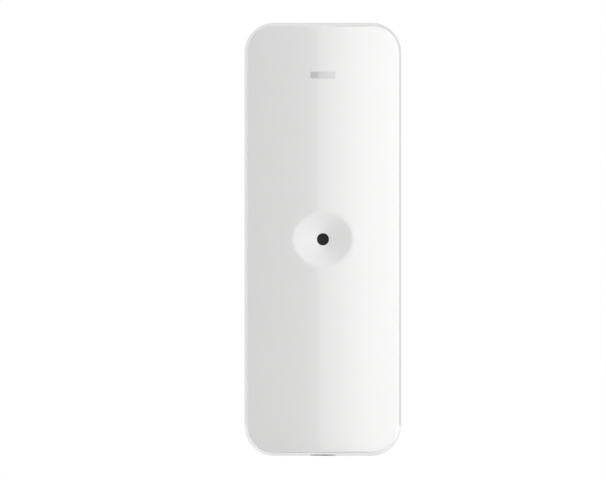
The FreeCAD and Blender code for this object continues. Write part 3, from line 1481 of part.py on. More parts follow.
def make_all():
    make_front_cover()
    make_rear_cover()
    make_light_pipe()
    disc_node("microphone_mesh", "sizes.mesh_diameter", "sizes.mesh_thickness", PORT_INNER)
    make_microphone_boot()
    make_microphone()
    make_main_board()
    make_battery_cell()
    make_battery_holder()
    make_contact("positive_contact", HOLDER_TOP_INNER, 1)
    make_negative_contact()
    make_board_screws()
    make_case_screw()
    make_switch("tamper_switch", "0", POST_LEVEL)
    make_plunger("tamper_plunger", "sizes.tamper_plunger_reach", "0", POST_LEVEL)
    make_switch("enrol_button", ENROL_ACROSS, "sizes.enrol_level")
    make_plunger("enrol_plunger", "sizes.enrol_plunger_reach", ENROL_ACROSS, "sizes.enrol_level")
    make_microcontroller()
    make_audio_amplifier()
    make_radio_board()
    make_radio_shield()
    make_antenna()
    make_status_led()
    make_crystal()
    make_capacitors()
    make_header_pins()
    make_chip_resistors()
    make_chip_capacitors()


NODES = [
    "front_cover", "rear_cover", "light_pipe", "microphone_mesh", "microphone_boot", "microphone",
    "main_board", "battery_cell", "battery_holder", "positive_contact", "negative_contact", "board_screws",
    "case_screw", "tamper_switch", "tamper_plunger", "enrol_button", "enrol_plunger", "microcontroller",
    "audio_amplifier", "radio_board", "radio_shield", "antenna", "status_led", "crystal", "capacitors",
    "header_pins", "chip_resistors", "chip_capacitors",
]

make_all()
doc.recompute()

for item in doc.Objects:
    if "Invalid" in item.State or "Error" in item.State:
        raise RuntimeError(f"{item.Label} has failed: {item.State}")

os.makedirs("parts", exist_ok=True)
for name in NODES:
    shape = next(item for item in doc.Objects if item.Label == name).Shape
    if shape.isNull() or not shape.isValid():
        raise RuntimeError(f"{name} has no valid shape")
    shape.exportStep(f"parts/{name}.step")
    print(f"{name}: {len(shape.Solids)} solids, {shape.Volume:.1f} mm3")
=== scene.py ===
import math

import bmesh
import bpy
from mathutils import Matrix, Vector


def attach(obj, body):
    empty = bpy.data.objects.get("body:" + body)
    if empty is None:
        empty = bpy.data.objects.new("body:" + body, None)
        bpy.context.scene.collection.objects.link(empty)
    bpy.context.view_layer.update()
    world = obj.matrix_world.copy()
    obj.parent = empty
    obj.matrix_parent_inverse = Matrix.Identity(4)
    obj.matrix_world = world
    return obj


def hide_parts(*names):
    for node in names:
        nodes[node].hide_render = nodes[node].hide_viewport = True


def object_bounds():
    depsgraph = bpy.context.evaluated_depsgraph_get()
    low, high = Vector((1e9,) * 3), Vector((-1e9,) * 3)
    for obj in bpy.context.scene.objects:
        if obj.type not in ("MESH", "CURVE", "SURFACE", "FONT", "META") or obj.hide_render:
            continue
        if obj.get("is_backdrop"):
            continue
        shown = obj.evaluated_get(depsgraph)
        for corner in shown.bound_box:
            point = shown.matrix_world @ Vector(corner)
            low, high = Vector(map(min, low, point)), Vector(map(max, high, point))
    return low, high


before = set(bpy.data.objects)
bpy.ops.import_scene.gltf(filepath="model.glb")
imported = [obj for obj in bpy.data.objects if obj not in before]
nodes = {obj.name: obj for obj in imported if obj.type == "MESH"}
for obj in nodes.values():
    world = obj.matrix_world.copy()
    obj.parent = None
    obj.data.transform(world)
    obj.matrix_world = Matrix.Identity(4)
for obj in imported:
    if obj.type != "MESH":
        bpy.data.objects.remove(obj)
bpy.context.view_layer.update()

millimetre = 0.001  # the pieces' sizes are in millimetres, the studio's in metres
# How close points are when they are merged: along a seam and in a CAD node in metres, and where
# the zones of a skin meet in the trees' millimetres
seamWeld, nodeWeld, zoneWeld = 1e-7, 1e-6, 0.0005
# Edges that turn by more than this stay sharp
mouldedAngle, pipeAngle, screwAngle = 28, 20, 30


def stage(words):
    print("glass break sensor:", words)


# Node trees

class Wire:
    # A socket that takes part in sums: an expression on wires adds its Math nodes
    def __init__(self, graph, socket):
        self.graph = graph
        self.socket = socket

    def output(self, name):  # another output of the same node
        return Wire(self.graph, self.socket.node.outputs[name])

    def __add__(self, other):
        return self.graph.maths("ADD", self, other)

    def __radd__(self, other):
        return self.graph.maths("ADD", other, self)

    def __sub__(self, other):
        return self.graph.maths("SUBTRACT", self, other)

    def __rsub__(self, other):
        return self.graph.maths("SUBTRACT", other, self)

    def __mul__(self, other):
        return self.graph.maths("MULTIPLY", self, other)

    def __rmul__(self, other):
        return self.graph.maths("MULTIPLY", other, self)

    def __truediv__(self, other):
        return self.graph.maths("DIVIDE", self, other)

    def __rtruediv__(self, other):
        return self.graph.maths("DIVIDE", other, self)

    def __gt__(self, other):
        return self.graph.maths("GREATER_THAN", self, other)

    def __lt__(self, other):
        return self.graph.maths("LESS_THAN", self, other)

    def __abs__(self):
        return self.graph.maths("ABSOLUTE", self)

    def __neg__(self):
        return self.graph.maths("MULTIPLY", self, -1)


class Graph:
    # A shader or geometry node tree, with one way to add a node
    def __init__(self, tree):
        self.tree = tree

    def node(self, kind, settings=None, values=None, output=0):
        made = self.tree.nodes.new(kind)
        for name, setting in (settings or {}).items():
            if name == "stops":
                self.setStops(made.color_ramp, setting)
            else:
                setattr(made, name, setting)
        for name, value in (values or {}).items():
            for part in value if isinstance(value, list) else [value]:
                if isinstance(part, Wire):
                    self.tree.links.new(part.socket, made.inputs[name])
                else:
                    made.inputs[name].default_value = part
        return Wire(self, made.outputs[output])

    def setStops(self, ramp, stops):
        while len(ramp.elements) < len(stops):
            ramp.elements.new(1)
        for element, (place, colour) in zip(ramp.elements, stops):
            element.position = place
            element.color = colour

    def maths(self, operation, *terms):
        return self.node("ShaderNodeMath", {"operation": operation}, dict(enumerate(terms)))

    def between(self, low, high, share):  # from low at 0 to high at 1
        return low + (high - low) * share


# Meshes

def newPiece(name, mesh):
    piece = bpy.data.objects.new(name, mesh)
    bpy.context.scene.collection.objects.link(piece)
    return piece


def evaluatedMesh(piece):
    bpy.context.view_layer.update()
    graph = bpy.context.evaluated_depsgraph_get()
    return bpy.data.meshes.new_from_object(piece.evaluated_get(graph))


def grow(name, sizes, shapeOf, material):
    # Builds a tree whose named inputs are the sizes, and keeps what it makes as a plain mesh
    tree = bpy.data.node_groups.new(name, "GeometryNodeTree")
    graph = Graph(tree)
    sockets = {}
    for label, amount in sizes.items():
        kind = "NodeSocketInt" if isinstance(amount, int) else "NodeSocketFloat"
        sockets[label] = tree.interface.new_socket(name=label, in_out="INPUT", socket_type=kind)
    tree.interface.new_socket(name="Shape", in_out="OUTPUT", socket_type="NodeSocketGeometry")
    entry = tree.nodes.new("NodeGroupInput")
    size = {label: Wire(graph, entry.outputs[label]) for label in sizes}
    shape = shapeOf(graph, size)
    solid = graph.node("GeometryNodeRealizeInstances", values={"Geometry": shape})
    scaled = graph.node(
        "GeometryNodeTransform", values={"Geometry": solid, "Scale": (millimetre,) * 3}
    )
    dressed = graph.node("GeometryNodeSetMaterial", values={"Geometry": scaled, "Material": material})
    leave = tree.nodes.new("NodeGroupOutput")
    tree.links.new(dressed.socket, leave.inputs["Shape"])

    piece = newPiece(name, bpy.data.meshes.new(name))
    modifier = piece.modifiers.new(name, "NODES")
    modifier.node_group = tree
    for label, amount in sizes.items():
        modifier[sockets[label].identifier] = amount
    mesh = evaluatedMesh(piece)
    piece.modifiers.remove(modifier)
    piece.data = mesh
    return piece


def closeMesh(piece):
    # Merges the seams, fills the open loops and turns the faces outwards
    shell = bmesh.new()
    shell.from_mesh(piece.data)
    bmesh.ops.remove_doubles(shell, verts=shell.verts, dist=seamWeld)
    openEdges = [edge for edge in shell.edges if edge.is_boundary]
    bmesh.ops.holes_fill(shell, edges=openEdges, sides=0)
    bmesh.ops.recalc_face_normals(shell, faces=shell.faces)
    shell.to_mesh(piece.data)
    shell.free()


def mergedCopy(node, name):
    # A CAD node's mesh with its loose triangles joined up, and without their stored shading
    piece = newPiece(name, nodes[node].data.copy())
    storedShading = piece.data.attributes.get("custom_normal")
    if storedShading:
        piece.data.attributes.remove(storedShading)
    shell = bmesh.new()
    shell.from_mesh(piece.data)
    bmesh.ops.remove_doubles(shell, verts=shell.verts, dist=nodeWeld)
    shell.to_mesh(piece.data)
    shell.free()
    return piece


def boxPiece(name, low, high):
    piece = newPiece(name, bpy.data.meshes.new(name))
    shell = bmesh.new()
    middle = (Vector(low) + Vector(high)) / 2 * millimetre
    size = (Vector(high) - Vector(low)) * millimetre
    place = Matrix.Translation(middle) @ Matrix.Diagonal((*size, 1))
    bmesh.ops.create_cube(shell, size=1, matrix=place)
    shell.to_mesh(piece.data)
    shell.free()
    return piece


def rodPiece(name, radius, start, end, sides=96):
    # A cylinder between two points on a line along an axis
    piece = newPiece(name, bpy.data.meshes.new(name))
    run = (Vector(end) - Vector(start)) * millimetre
    turn = Vector((0, 0, 1)).rotation_difference(run).to_matrix().to_4x4()
    place = Matrix.Translation((Vector(start) + Vector(end)) / 2 * millimetre) @ turn
    shell = bmesh.new()
    bmesh.ops.create_cone(
        shell,
        cap_ends=True,
        segments=sides,
        radius1=radius * millimetre,
        radius2=radius * millimetre,
        depth=run.length,
        matrix=place,
    )
    shell.to_mesh(piece.data)
    shell.free()
    return piece


def combine(piece, tools, operation):
    # Cuts the tools out of the piece or joins them to it, and removes the tools
    for tool in tools:
        step = piece.modifiers.new(tool.name, "BOOLEAN")
        step.operation = operation
        step.solver = "MANIFOLD"
        step.object = tool
        mesh = evaluatedMesh(piece)
        piece.modifiers.remove(step)
        piece.data = mesh
        bpy.data.objects.remove(tool)


def smoothUpTo(piece, degrees):
    piece.data.validate()  # a cut may leave a double face behind
    for face in piece.data.polygons:
        face.use_smooth = True
    piece.data.set_sharp_from_angle(angle=math.radians(degrees))


def joinPieces(piece, others):
    # Puts the others' meshes into the piece's, and removes them
    shell = bmesh.new()
    for part in [piece, *others]:
        shell.from_mesh(part.data)
    shell.to_mesh(piece.data)
    shell.free()
    for other in others:
        bpy.data.objects.remove(other)


def wear(piece, material):
    piece.data.materials.clear()
    piece.data.materials.append(material)


def finish(piece, body, slotName, node):
    # Dresses a finished piece, which rides its body and stands in for the CAD node
    wear(piece, finishes[slotName])
    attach(piece, body)
    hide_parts(node)


# Finishes

def emptyMaterial(name):
    made = bpy.data.materials.new(name)
    made.use_nodes = True
    made.node_tree.nodes.clear()
    return made


def show(graph, shader, leaveKind):
    leave = graph.tree.nodes.new(leaveKind)
    graph.tree.links.new(shader.socket, leave.inputs["Surface"])


# What a finish has where its own values say nothing else
usual = {
    "spread": 0.03, "roughSpread": 0.08, "relief": 0.1, "metallic": 0.0, "ior": 1.5, "specular": 0.5,
    "coat": 0.0, "coatRoughness": 0.03, "stretch": (1, 1, 1),
}
cloudScale, cloudDetail, grainDetail, bumpHeight = 60, 2, 3, 0.0001


def makeFinish(name, own, pattern=None):
    # A surface whose colour, roughness and height vary a little. A pattern may change its colour.
    look = {**usual, **own}
    made = emptyMaterial(name)
    graph = Graph(made.node_tree)
    place = graph.node("ShaderNodeTexCoord", output="Object")
    stretched = graph.node("ShaderNodeMapping", values={"Vector": place, "Scale": look["stretch"]})
    cloud = graph.node(
        "ShaderNodeTexNoise", values={"Vector": place, "Scale": cloudScale, "Detail": cloudDetail}
    )
    grain = graph.node(
        "ShaderNodeTexNoise",
        values={"Vector": stretched, "Scale": look["grain"], "Detail": grainDetail},
    )
    base = Vector(look["colour"])
    dark = (*(base * (1 - look["spread"])), 1)
    light = (*[min(1, part * (1 + look["spread"])) for part in base], 1)
    colour = graph.node(
        "ShaderNodeMix", {"data_type": "RGBA"}, {0: cloud, 6: dark, 7: light}, output=2
    )
    if pattern:
        colour = pattern(graph, place, colour)
    roughness = look["roughness"] + (grain - 0.5) * look["roughSpread"]
    relief = graph.node(
        "ShaderNodeBump", values={"Strength": look["relief"], "Distance": bumpHeight, "Height": grain}
    )
    values = {
        "Base Color": colour,
        "Roughness": roughness,
        "Normal": relief,
        "Metallic": look["metallic"],
        "IOR": look["ior"],
        "Specular IOR Level": look["specular"],
        "Coat Weight": look["coat"],
        "Coat Roughness": look["coatRoughness"],
    }
    surface = graph.node("ShaderNodeBsdfPrincipled", values=values)
    show(graph, surface, "ShaderNodeOutputMaterial")
    return made


plastics = {
    "white_plastic": {
        "colour": (0.85, 0.85, 0.845), "spread": 0.006, "roughness": 0.3, "roughSpread": 0.02, "grain": 1400,
        "relief": 0.006, "specular": 0.3, "coat": 1.0, "coatRoughness": 0.01,
    },
    "clear_plastic": {
        "colour": (0.675, 0.675, 0.675), "spread": 0.01, "roughness": 0.03, "grain": 900, "relief": 0.005,
        "roughSpread": 0.01, "specular": 0.75, "coat": 1.0, "coatRoughness": 0.01, "ior": 1.65,
    },
    "black_mesh": {"colour": (0.025, 0.025, 0.024), "roughness": 0.8, "grain": 4000, "relief": 0.2},
    "black_rubber": {"colour": (0.025, 0.025, 0.026), "roughness": 0.75, "grain": 1200, "relief": 0.25},
    "holder_plastic": {"colour": (0.03, 0.03, 0.032), "roughness": 0.5, "grain": 1500, "relief": 0.2},
    "switch_plastic": {"colour": (0.05, 0.05, 0.055), "roughness": 0.45, "grain": 1500, "relief": 0.15},
    "plunger_plastic": {"colour": (0.62, 0.1, 0.06), "roughness": 0.4, "grain": 1500, "relief": 0.1},
    "chip_plastic": {"colour": (0.022, 0.022, 0.024), "roughness": 0.55, "grain": 3500, "relief": 0.3},
    "led_plastic": {"colour": (0.75, 0.73, 0.66), "roughness": 0.25, "grain": 1500, "coat": 0.6},
    "cell_sleeve": {
        "colour": (0.03, 0.12, 0.3), "roughness": 0.3, "grain": 700, "relief": 0.05, "coat": 0.7,
    },
    "chip_ceramic": {"colour": (0.34, 0.26, 0.18), "roughness": 0.5, "grain": 3000, "relief": 0.2},
}
metals = {
    "capsule_metal": {"colour": (0.62, 0.62, 0.6), "roughness": 0.35, "grain": 1200},
    "contact_metal": {"colour": (0.75, 0.73, 0.68), "roughness": 0.28, "grain": 900, "stretch": (1, 1, 0.1)},
    "screw_steel": {"colour": (0.58, 0.58, 0.59), "roughness": 0.32, "grain": 1500},
    "shield_metal": {"colour": (0.68, 0.67, 0.64), "roughness": 0.34, "grain": 700, "stretch": (0.08, 1, 1)},
    "antenna_metal": {"colour": (0.72, 0.7, 0.62), "roughness": 0.3, "grain": 900, "stretch": (1, 1, 0.1)},
    "can_metal": {"colour": (0.7, 0.7, 0.7), "roughness": 0.25, "grain": 1500},
}
boardLook = {
    "colour": (0.012, 0.11, 0.045), "spread": 0.12, "roughness": 0.32, "grain": 1500, "relief": 0.05,
    "track": (0.03, 0.2, 0.08), "trackPitch": 0.9, "trackShare": 0.35, "patch": 90,
    "tracksFrom": 0.25, "uprightFrom": 0.5,
}


def drawTracks(graph, place, colour):
    # Parallel copper tracks under the lacquer. Each patch has a kind from 0 to 1, which says whether
    # it has tracks, and whether they run up or across.
    axes = graph.node("ShaderNodeSeparateXYZ", values={"Vector": place}, output="X")
    patch = graph.node(
        "ShaderNodeTexVoronoi", {"distance": "CHEBYCHEV"}, {"Vector": place, "Scale": boardLook["patch"]},
        output="Color",
    )
    kind = graph.node("ShaderNodeSeparateColor", values={"Color": patch}, output="Red")
    upright = kind > boardLook["uprightFrom"]
    run = graph.between(axes.output("Z"), axes, upright)
    turns = graph.maths("FRACT", run / (boardLook["trackPitch"] * millimetre))
    onTrack = (turns < boardLook["trackShare"]) * (kind > boardLook["tracksFrom"])
    track = (*boardLook["track"], 1)
    return graph.node("ShaderNodeMix", {"data_type": "RGBA"}, {0: onTrack, 6: colour, 7: track}, output=2)


finishes = {}
for name, look in plastics.items():
    finishes[name] = makeFinish(name, look)
for name, look in metals.items():
    finishes[name] = makeFinish(name, {"metallic": 1.0, "relief": 0.08, **look})
finishes["green_board"] = makeFinish("green_board", boardLook, drawTracks)

for node in nodes.values():
    for slot in node.material_slots:
        slotName = slot.material.name.split(".")[0]
        if slotName in finishes:
            slot.material = finishes[slotName]
stage("finishes made")


# Front cover

coverSize = {
    "width": 40.2, "height": 111.0, "depth": 23.0, "corner": 7.7, "parting": 2.5, "draft": 2.25,
    "crown": 100.0, "edgeRound": 0.36, "dimpleDepth": 1.1, "rimAcross": 8.65, "rimUp": 8.27,
    "creaseAcross": 7.56, "creaseUp": 6.92, "rimSlope": 0.1, "port": 1.55,
    "columns": 600, "faceRows": 26,
}
wallRows, edgeRows, rimRows, coneRows = 6, 9, 12, 10
# The block that takes the inside of the cover over from the CAD: it ends within the walls
insideSize = {
    **coverSize, "width": 38.4, "height": 109.2, "depth": 21.55, "corner": 6.8, "parting": 0.0,
    "crown": 98.55, "columns": 240, "faceRows": 12, "dimpleDepth": 0.02, "rimSlope": 0.0,
}


class Rays:
    # Sums for a round-cornered block whose skin is laid along rays about the middle.
    # A zone is a belt of the skin, and the step runs from 0 at its first row to 1 at its last.
    def __init__(self, graph, size):
        self.graph = graph
        self.size = size
        spot = graph.node("GeometryNodeInputPosition")
        axes = graph.node("ShaderNodeSeparateXYZ", values={"Vector": spot}, output="X")
        turn = (axes + 0.5) * math.tau
        self.step = axes.output("Y") + 0.5
        self.across = graph.maths("COSINE", turn)
        self.up = graph.maths("SINE", turn)
        self.slope = graph.maths("TANGENT", graph.maths("RADIANS", size["draft"]))

    def outline(self, inset):
        graph, size = self.graph, self.size
        least = 1e-6  # what divides here is never 0
        rayAcross = graph.maths("MAXIMUM", abs(self.across), least)
        rayUp = graph.maths("MAXIMUM", abs(self.up), least)
        flat = graph.maths(
            "MINIMUM", (size["width"] / 2 - inset) / rayAcross, (size["height"] / 2 - inset) / rayUp
        )
        cornerAcross = size["width"] / 2 - size["corner"]
        cornerUp = size["height"] / 2 - size["corner"]
        along = rayAcross * cornerAcross + rayUp * cornerUp
        radius = size["corner"] - inset
        room = along * along + radius * radius - cornerAcross * cornerAcross - cornerUp * cornerUp
        arc = along + graph.maths("SQRT", graph.maths("MAXIMUM", room, 0.0))
        isCorner = (flat * rayAcross > cornerAcross) * (flat * rayUp > cornerUp)
        return graph.between(flat, arc, isCorner)

    def ellipse(self, halfAcross, halfUp):
        wide, tall = self.across / halfAcross, self.up / halfUp
        return 1 / self.graph.maths("SQRT", wide * wide + tall * tall)

    def faceDepth(self, ray):
        crown, x = self.size["crown"], self.across * ray
        return self.size["depth"] - crown + self.graph.maths("SQRT", crown * crown - x * x)

    def zone(self, rows, ray, depth):
        graph = self.graph
        columns = self.size["columns"] + 1
        grid = graph.node(
            "GeometryNodeMeshGrid",
            values={"Size X": 1.0, "Size Y": 1.0, "Vertices X": columns, "Vertices Y": rows},
        )
        place = graph.node(
            "ShaderNodeCombineXYZ", values={"X": self.across * ray, "Y": -depth, "Z": self.up * ray}
        )
        return graph.node("GeometryNodeSetPosition", values={"Geometry": grid, "Position": place})

    def skin(self, zones):
        joined = self.graph.node("GeometryNodeJoinGeometry", values={"Geometry": zones})
        return self.graph.node(
            "GeometryNodeMergeByDistance", values={"Geometry": joined, "Distance": zoneWeld}
        )

    def easeOut(self):  # rows crowd at the last one
        rest = 1 - self.step
        return 1 - rest * rest * rest

    def easeBoth(self):  # rows crowd at both ends
        return self.step * self.step * (3 - 2 * self.step)


def frontShape(graph, size):
    # Drafted wall, rounded edge, crowned face, and a rim and a cone that lead down to the port
    rays = Rays(graph, size)
    inset = rays.slope * (size["depth"] - size["parting"])
    edgeDepth = rays.faceDepth(rays.outline(inset)) - size["edgeRound"]
    edgeInset = rays.slope * (edgeDepth - size["parting"])
    wallDepth = graph.between(size["parting"], edgeDepth, rays.easeOut())
    wall = rays.outline(rays.slope * (wallDepth - size["parting"]))
    quarter = rays.step * (math.pi / 2)
    edge = rays.outline(edgeInset + size["edgeRound"] * (1 - graph.maths("COSINE", quarter)))
    roundDepth = rays.faceDepth(edge) - size["edgeRound"] * (1 - graph.maths("SINE", quarter))
    rim = rays.ellipse(size["rimAcross"], size["rimUp"])
    crease = rays.ellipse(size["creaseAcross"], size["creaseUp"])
    rimFall = size["rimSlope"] * (rim - crease) / 2
    face = graph.between(rays.outline(edgeInset + size["edgeRound"]), rim, rays.easeBoth())
    blend = graph.between(rim, crease, rays.step)
    blendDepth = rays.faceDepth(blend) - rimFall * rays.step * rays.step
    cone = graph.between(crease, size["port"], rays.step)
    creaseDepth = rays.faceDepth(crease) - rimFall
    coneDepth = graph.between(creaseDepth, size["depth"] - size["dimpleDepth"], rays.step)
    return rays.skin([
        rays.zone(wallRows, wall, wallDepth),
        rays.zone(edgeRows, edge, roundDepth),
        rays.zone(size["faceRows"], face, rays.faceDepth(face)),
        rays.zone(rimRows, blend, blendDepth),
        rays.zone(coneRows, cone, coneDepth),
    ])


coverCuts = {
    "portRadius": 1.555, "portInner": 19.5, "windowWidth": 6.304, "windowHeight": 1.644,
    "windowLevel": 42.09, "windowInner": 20.4, "recessRadius": 3.46, "recessDepth": 7.0,
    "recessFloor": 52.99, "beyond": 2.0,
}


def makeFrontCover():
    cover = grow("FrontCover", coverSize, frontShape, finishes["white_plastic"])
    closeMesh(cover)
    inside = grow("inside", insideSize, frontShape, finishes["white_plastic"])
    closeMesh(inside)
    combine(inside, [mergedCopy("front_cover", "coverNode")], "DIFFERENCE")
    cut = coverCuts
    front = -coverSize["depth"] - cut["beyond"]
    below = -coverSize["height"] / 2 - cut["beyond"]
    halfWidth, halfHeight = cut["windowWidth"] / 2, cut["windowHeight"] / 2
    level, axis = cut["windowLevel"], -cut["recessDepth"]
    port = rodPiece("portCut", cut["portRadius"], (0, front, 0), (0, -cut["portInner"], 0))
    window = boxPiece(
        "windowCut",
        (-halfWidth, front, level - halfHeight),
        (halfWidth, -cut["windowInner"], level + halfHeight),
    )
    recess = rodPiece("recessCut", cut["recessRadius"], (0, axis, below), (0, axis, -cut["recessFloor"]))
    combine(cover, [inside, port, window, recess], "DIFFERENCE")
    smoothUpTo(cover, mouldedAngle)
    finish(cover, "housing", "white_plastic", "front_cover")


makeFrontCover()
stage("front cover made")


# Rear cover: a smooth skin around the CAD's own holes, slots and lip

rearSize = {
    "width": 39.49, "height": 110.29, "depth": 0.005, "corner": 7.35, "parting": 2.5, "draft": 12.0,
    "crown": 1.0, "edgeRound": 0.85, "behind": 11.0, "middle": 1.0, "columns": 480, "faceRows": 18,
}
lipRows = 2


def rearShape(graph, size):
    rays = Rays(graph, size)
    edgeDepth = size["depth"] + size["edgeRound"]
    edgeInset = rays.slope * (size["parting"] - edgeDepth)
    lipDepth = graph.between(size["behind"], size["parting"], rays.step)
    wallDepth = graph.between(size["parting"], edgeDepth, rays.easeOut())
    wall = rays.outline(rays.slope * (size["parting"] - wallDepth))
    quarter = rays.step * (math.pi / 2)
    edge = rays.outline(edgeInset + size["edgeRound"] * (1 - graph.maths("COSINE", quarter)))
    roundDepth = edgeDepth - size["edgeRound"] * graph.maths("SINE", quarter)
    face = graph.between(rays.outline(edgeInset + size["edgeRound"]), size["middle"], rays.easeBoth())
    return rays.skin([
        rays.zone(lipRows, rays.outline(0), lipDepth),
        rays.zone(wallRows, wall, wallDepth),
        rays.zone(edgeRows, edge, roundDepth),
        rays.zone(size["faceRows"], face, size["depth"]),
    ])


def makeRearCover():
    cover = grow("RearCover", rearSize, rearShape, finishes["white_plastic"])
    closeMesh(cover)
    combine(cover, [mergedCopy("rear_cover", "coverNode")], "INTERSECT")
    smoothUpTo(cover, mouldedAngle)
    finish(cover, "housing", "white_plastic", "rear_cover")


makeRearCover()
stage("rear cover made")


# Round pieces that keep the CAD's mesh, with smooth shading

def keepForm(name, node, body, slotName):
    piece = mergedCopy(node, name)
    smoothUpTo(piece, mouldedAngle)
    finish(piece, body, slotName, node)


for name, node, slotName in [
    ("MicrophoneBoot", "microphone_boot", "black_rubber"),
    ("MicrophoneCapsule", "microphone", "capsule_metal"),
    ("BatteryCell", "battery_cell", "cell_sleeve"),
    ("Capacitors", "capacitors", "can_metal"),
    ("Crystal", "crystal", "can_metal"),
]:
    keepForm(name, node, "housing", slotName)
keepForm("TamperPlunger", "tamper_plunger", "tamper_plunger", "plunger_plastic")
keepForm("EnrolPlunger", "enrol_plunger", "enrol_plunger", "plunger_plastic")
stage("round pieces smoothed")


# Light pipe

pipeSize = {
    "width": 6.22, "height": 1.56, "front": 23.0, "rear": 20.3, "crown": 100.0, "level": 42.09,
    "columns": 41, "rows": 13,
}
pipeRear = {
    "flangeWidth": 8.3, "flangeHeight": 3.64, "flangeFront": 21.07, "flangeRear": 20.27, "stemWidth": 4.2,
    "stemHeight": 1.55, "stemEnd": 14.01, "stemOverlap": 0.2,
}


def pipeShape(graph, size):
    # The head: a block whose front follows the cover's crown
    depth = size["front"] - size["rear"]
    extent = graph.node("ShaderNodeCombineXYZ", values={"X": size["width"], "Y": depth, "Z": size["height"]})
    block = graph.node(
        "GeometryNodeMeshCube",
        values={"Size": extent, "Vertices X": size["columns"], "Vertices Y": 2, "Vertices Z": size["rows"]},
    )
    spot = graph.node("GeometryNodeInputPosition")
    axes = graph.node("ShaderNodeSeparateXYZ", values={"Vector": spot}, output="X")
    fall = size["crown"] - graph.maths("SQRT", size["crown"] * size["crown"] - axes * axes)
    isFront = axes.output("Y") < 0
    middle = (size["front"] + size["rear"]) / 2
    depthPlace = axes.output("Y") - middle + fall * isFront
    place = graph.node(
        "ShaderNodeCombineXYZ", values={"X": axes, "Y": depthPlace, "Z": axes.output("Z") + size["level"]}
    )
    return graph.node("GeometryNodeSetPosition", values={"Geometry": block, "Position": place})


def makeLightPipe():
    pipe = grow("LightPipe", pipeSize, pipeShape, finishes["clear_plastic"])
    closeMesh(pipe)
    rear, level = pipeRear, pipeSize["level"]
    flange = boxPiece(
        "flange",
        (-rear["flangeWidth"] / 2, -rear["flangeFront"], level - rear["flangeHeight"] / 2),
        (rear["flangeWidth"] / 2, -rear["flangeRear"], level + rear["flangeHeight"] / 2),
    )
    stem = boxPiece(
        "stem",
        (-rear["stemWidth"] / 2, -pipeSize["rear"] - rear["stemOverlap"], level - rear["stemHeight"] / 2),
        (rear["stemWidth"] / 2, -rear["stemEnd"], level + rear["stemHeight"] / 2),
    )
    combine(pipe, [flange, stem], "UNION")
    smoothUpTo(pipe, pipeAngle)
    finish(pipe, "housing", "clear_plastic", "light_pipe")


makeLightPipe()
stage("light pipe made")


# Microphone mesh: round threads woven over and under each other, on a thin dark disc

meshSize = {
    "threads": 30, "samples": 121, "pitch": 0.3, "thread": 0.12, "wave": 0.12, "reach": 4.45,
    "flatten": 0.3125, "depth": 20.525, "profile": 8,
}
meshBacking = {"radius": 4.49, "front": 20.48, "rear": 20.451}


def meshShape(graph, size):
    def threads(crossing):
        half = (size["threads"] - 1) * size["pitch"] / 2
        start = graph.node("ShaderNodeCombineXYZ", values={"Z": -half})
        step = graph.node("ShaderNodeCombineXYZ", values={"Z": size["pitch"]})
        starts = graph.node(
            "GeometryNodeMeshLine", {"mode": "OFFSET"},
            {"Count": size["threads"], "Start Location": start, "Offset": step},
        )
        straight = graph.node(
            "GeometryNodeCurvePrimitiveLine", values={"Start": (-1, 0, 0), "End": (1, 0, 0)}
        )
        sampled = graph.node(
            "GeometryNodeResampleCurve", values={"Curve": straight, "Count": size["samples"]}
        )
        copies = graph.node(
            "GeometryNodeInstanceOnPoints", values={"Points": starts, "Instance": sampled}
        )
        curves = graph.node("GeometryNodeRealizeInstances", values={"Geometry": copies})
        spot = graph.node("GeometryNodeInputPosition")
        axes = graph.node("ShaderNodeSeparateXYZ", values={"Vector": spot}, output="X")
        offset = axes.output("Z")
        chord = graph.maths("SQRT", size["reach"] * size["reach"] - offset * offset)
        along = axes * chord
        over = graph.maths("COSINE", (along + offset) * math.pi / size["pitch"]) * size["wave"]
        if crossing:
            ends = {"X": offset, "Y": over, "Z": along}
        else:
            ends = {"X": along, "Y": -over, "Z": offset}
        place = graph.node("ShaderNodeCombineXYZ", values=ends)
        return graph.node("GeometryNodeSetPosition", values={"Geometry": curves, "Position": place})

    both = graph.node("GeometryNodeJoinGeometry", values={"Geometry": [threads(False), threads(True)]})
    outline = graph.node(
        "GeometryNodeCurvePrimitiveCircle", values={"Resolution": size["profile"], "Radius": size["thread"]}
    )
    tubes = graph.node(
        "GeometryNodeCurveToMesh", values={"Curve": both, "Profile Curve": outline, "Fill Caps": True}
    )
    shaded = graph.node("GeometryNodeSetShadeSmooth", values={"Geometry": tubes, "Shade Smooth": True})
    squeeze = graph.node("ShaderNodeCombineXYZ", values={"X": 1, "Y": size["flatten"], "Z": 1})
    move = graph.node("ShaderNodeCombineXYZ", values={"Y": -size["depth"]})
    return graph.node(
        "GeometryNodeTransform", values={"Geometry": shaded, "Scale": squeeze, "Translation": move}
    )


def makeMicrophoneMesh():
    weave = grow("MicrophoneMesh", meshSize, meshShape, finishes["black_mesh"])
    back = meshBacking
    disc = rodPiece("backing", back["radius"], (0, -back["front"], 0), (0, -back["rear"], 0))
    joinPieces(weave, [disc])
    finish(weave, "housing", "black_mesh", "microphone_mesh")


makeMicrophoneMesh()
stage("microphone mesh woven")


# Screws: a round head with a cross in it, a core with a blunt point and a wound thread

coverScrew = {
    "headRadius": 2.79, "headHeight": 1.9, "headRound": 0.45, "shankRadius": 1.44, "core": 1.08,
    "length": 4.69, "point": 0.9, "pitch": 0.95, "start": 0.35, "crossSpan": 1.54, "crossArm": 0.385,
    "crossDepth": 1.14,
    "places": [(0, -7, -53)], "turn": 180,
}
boardScrew = {
    "headRadius": 1.89, "headHeight": 1.4, "headRound": 0.35, "shankRadius": 0.89, "core": 0.66,
    "length": 5.99, "point": 0.8, "pitch": 0.7, "start": 0.3, "crossSpan": 1.045, "crossArm": 0.26,
    "crossDepth": 0.84,
    "places": [(-14, -11, -47), (14, -11, 47)], "turn": -90,
}
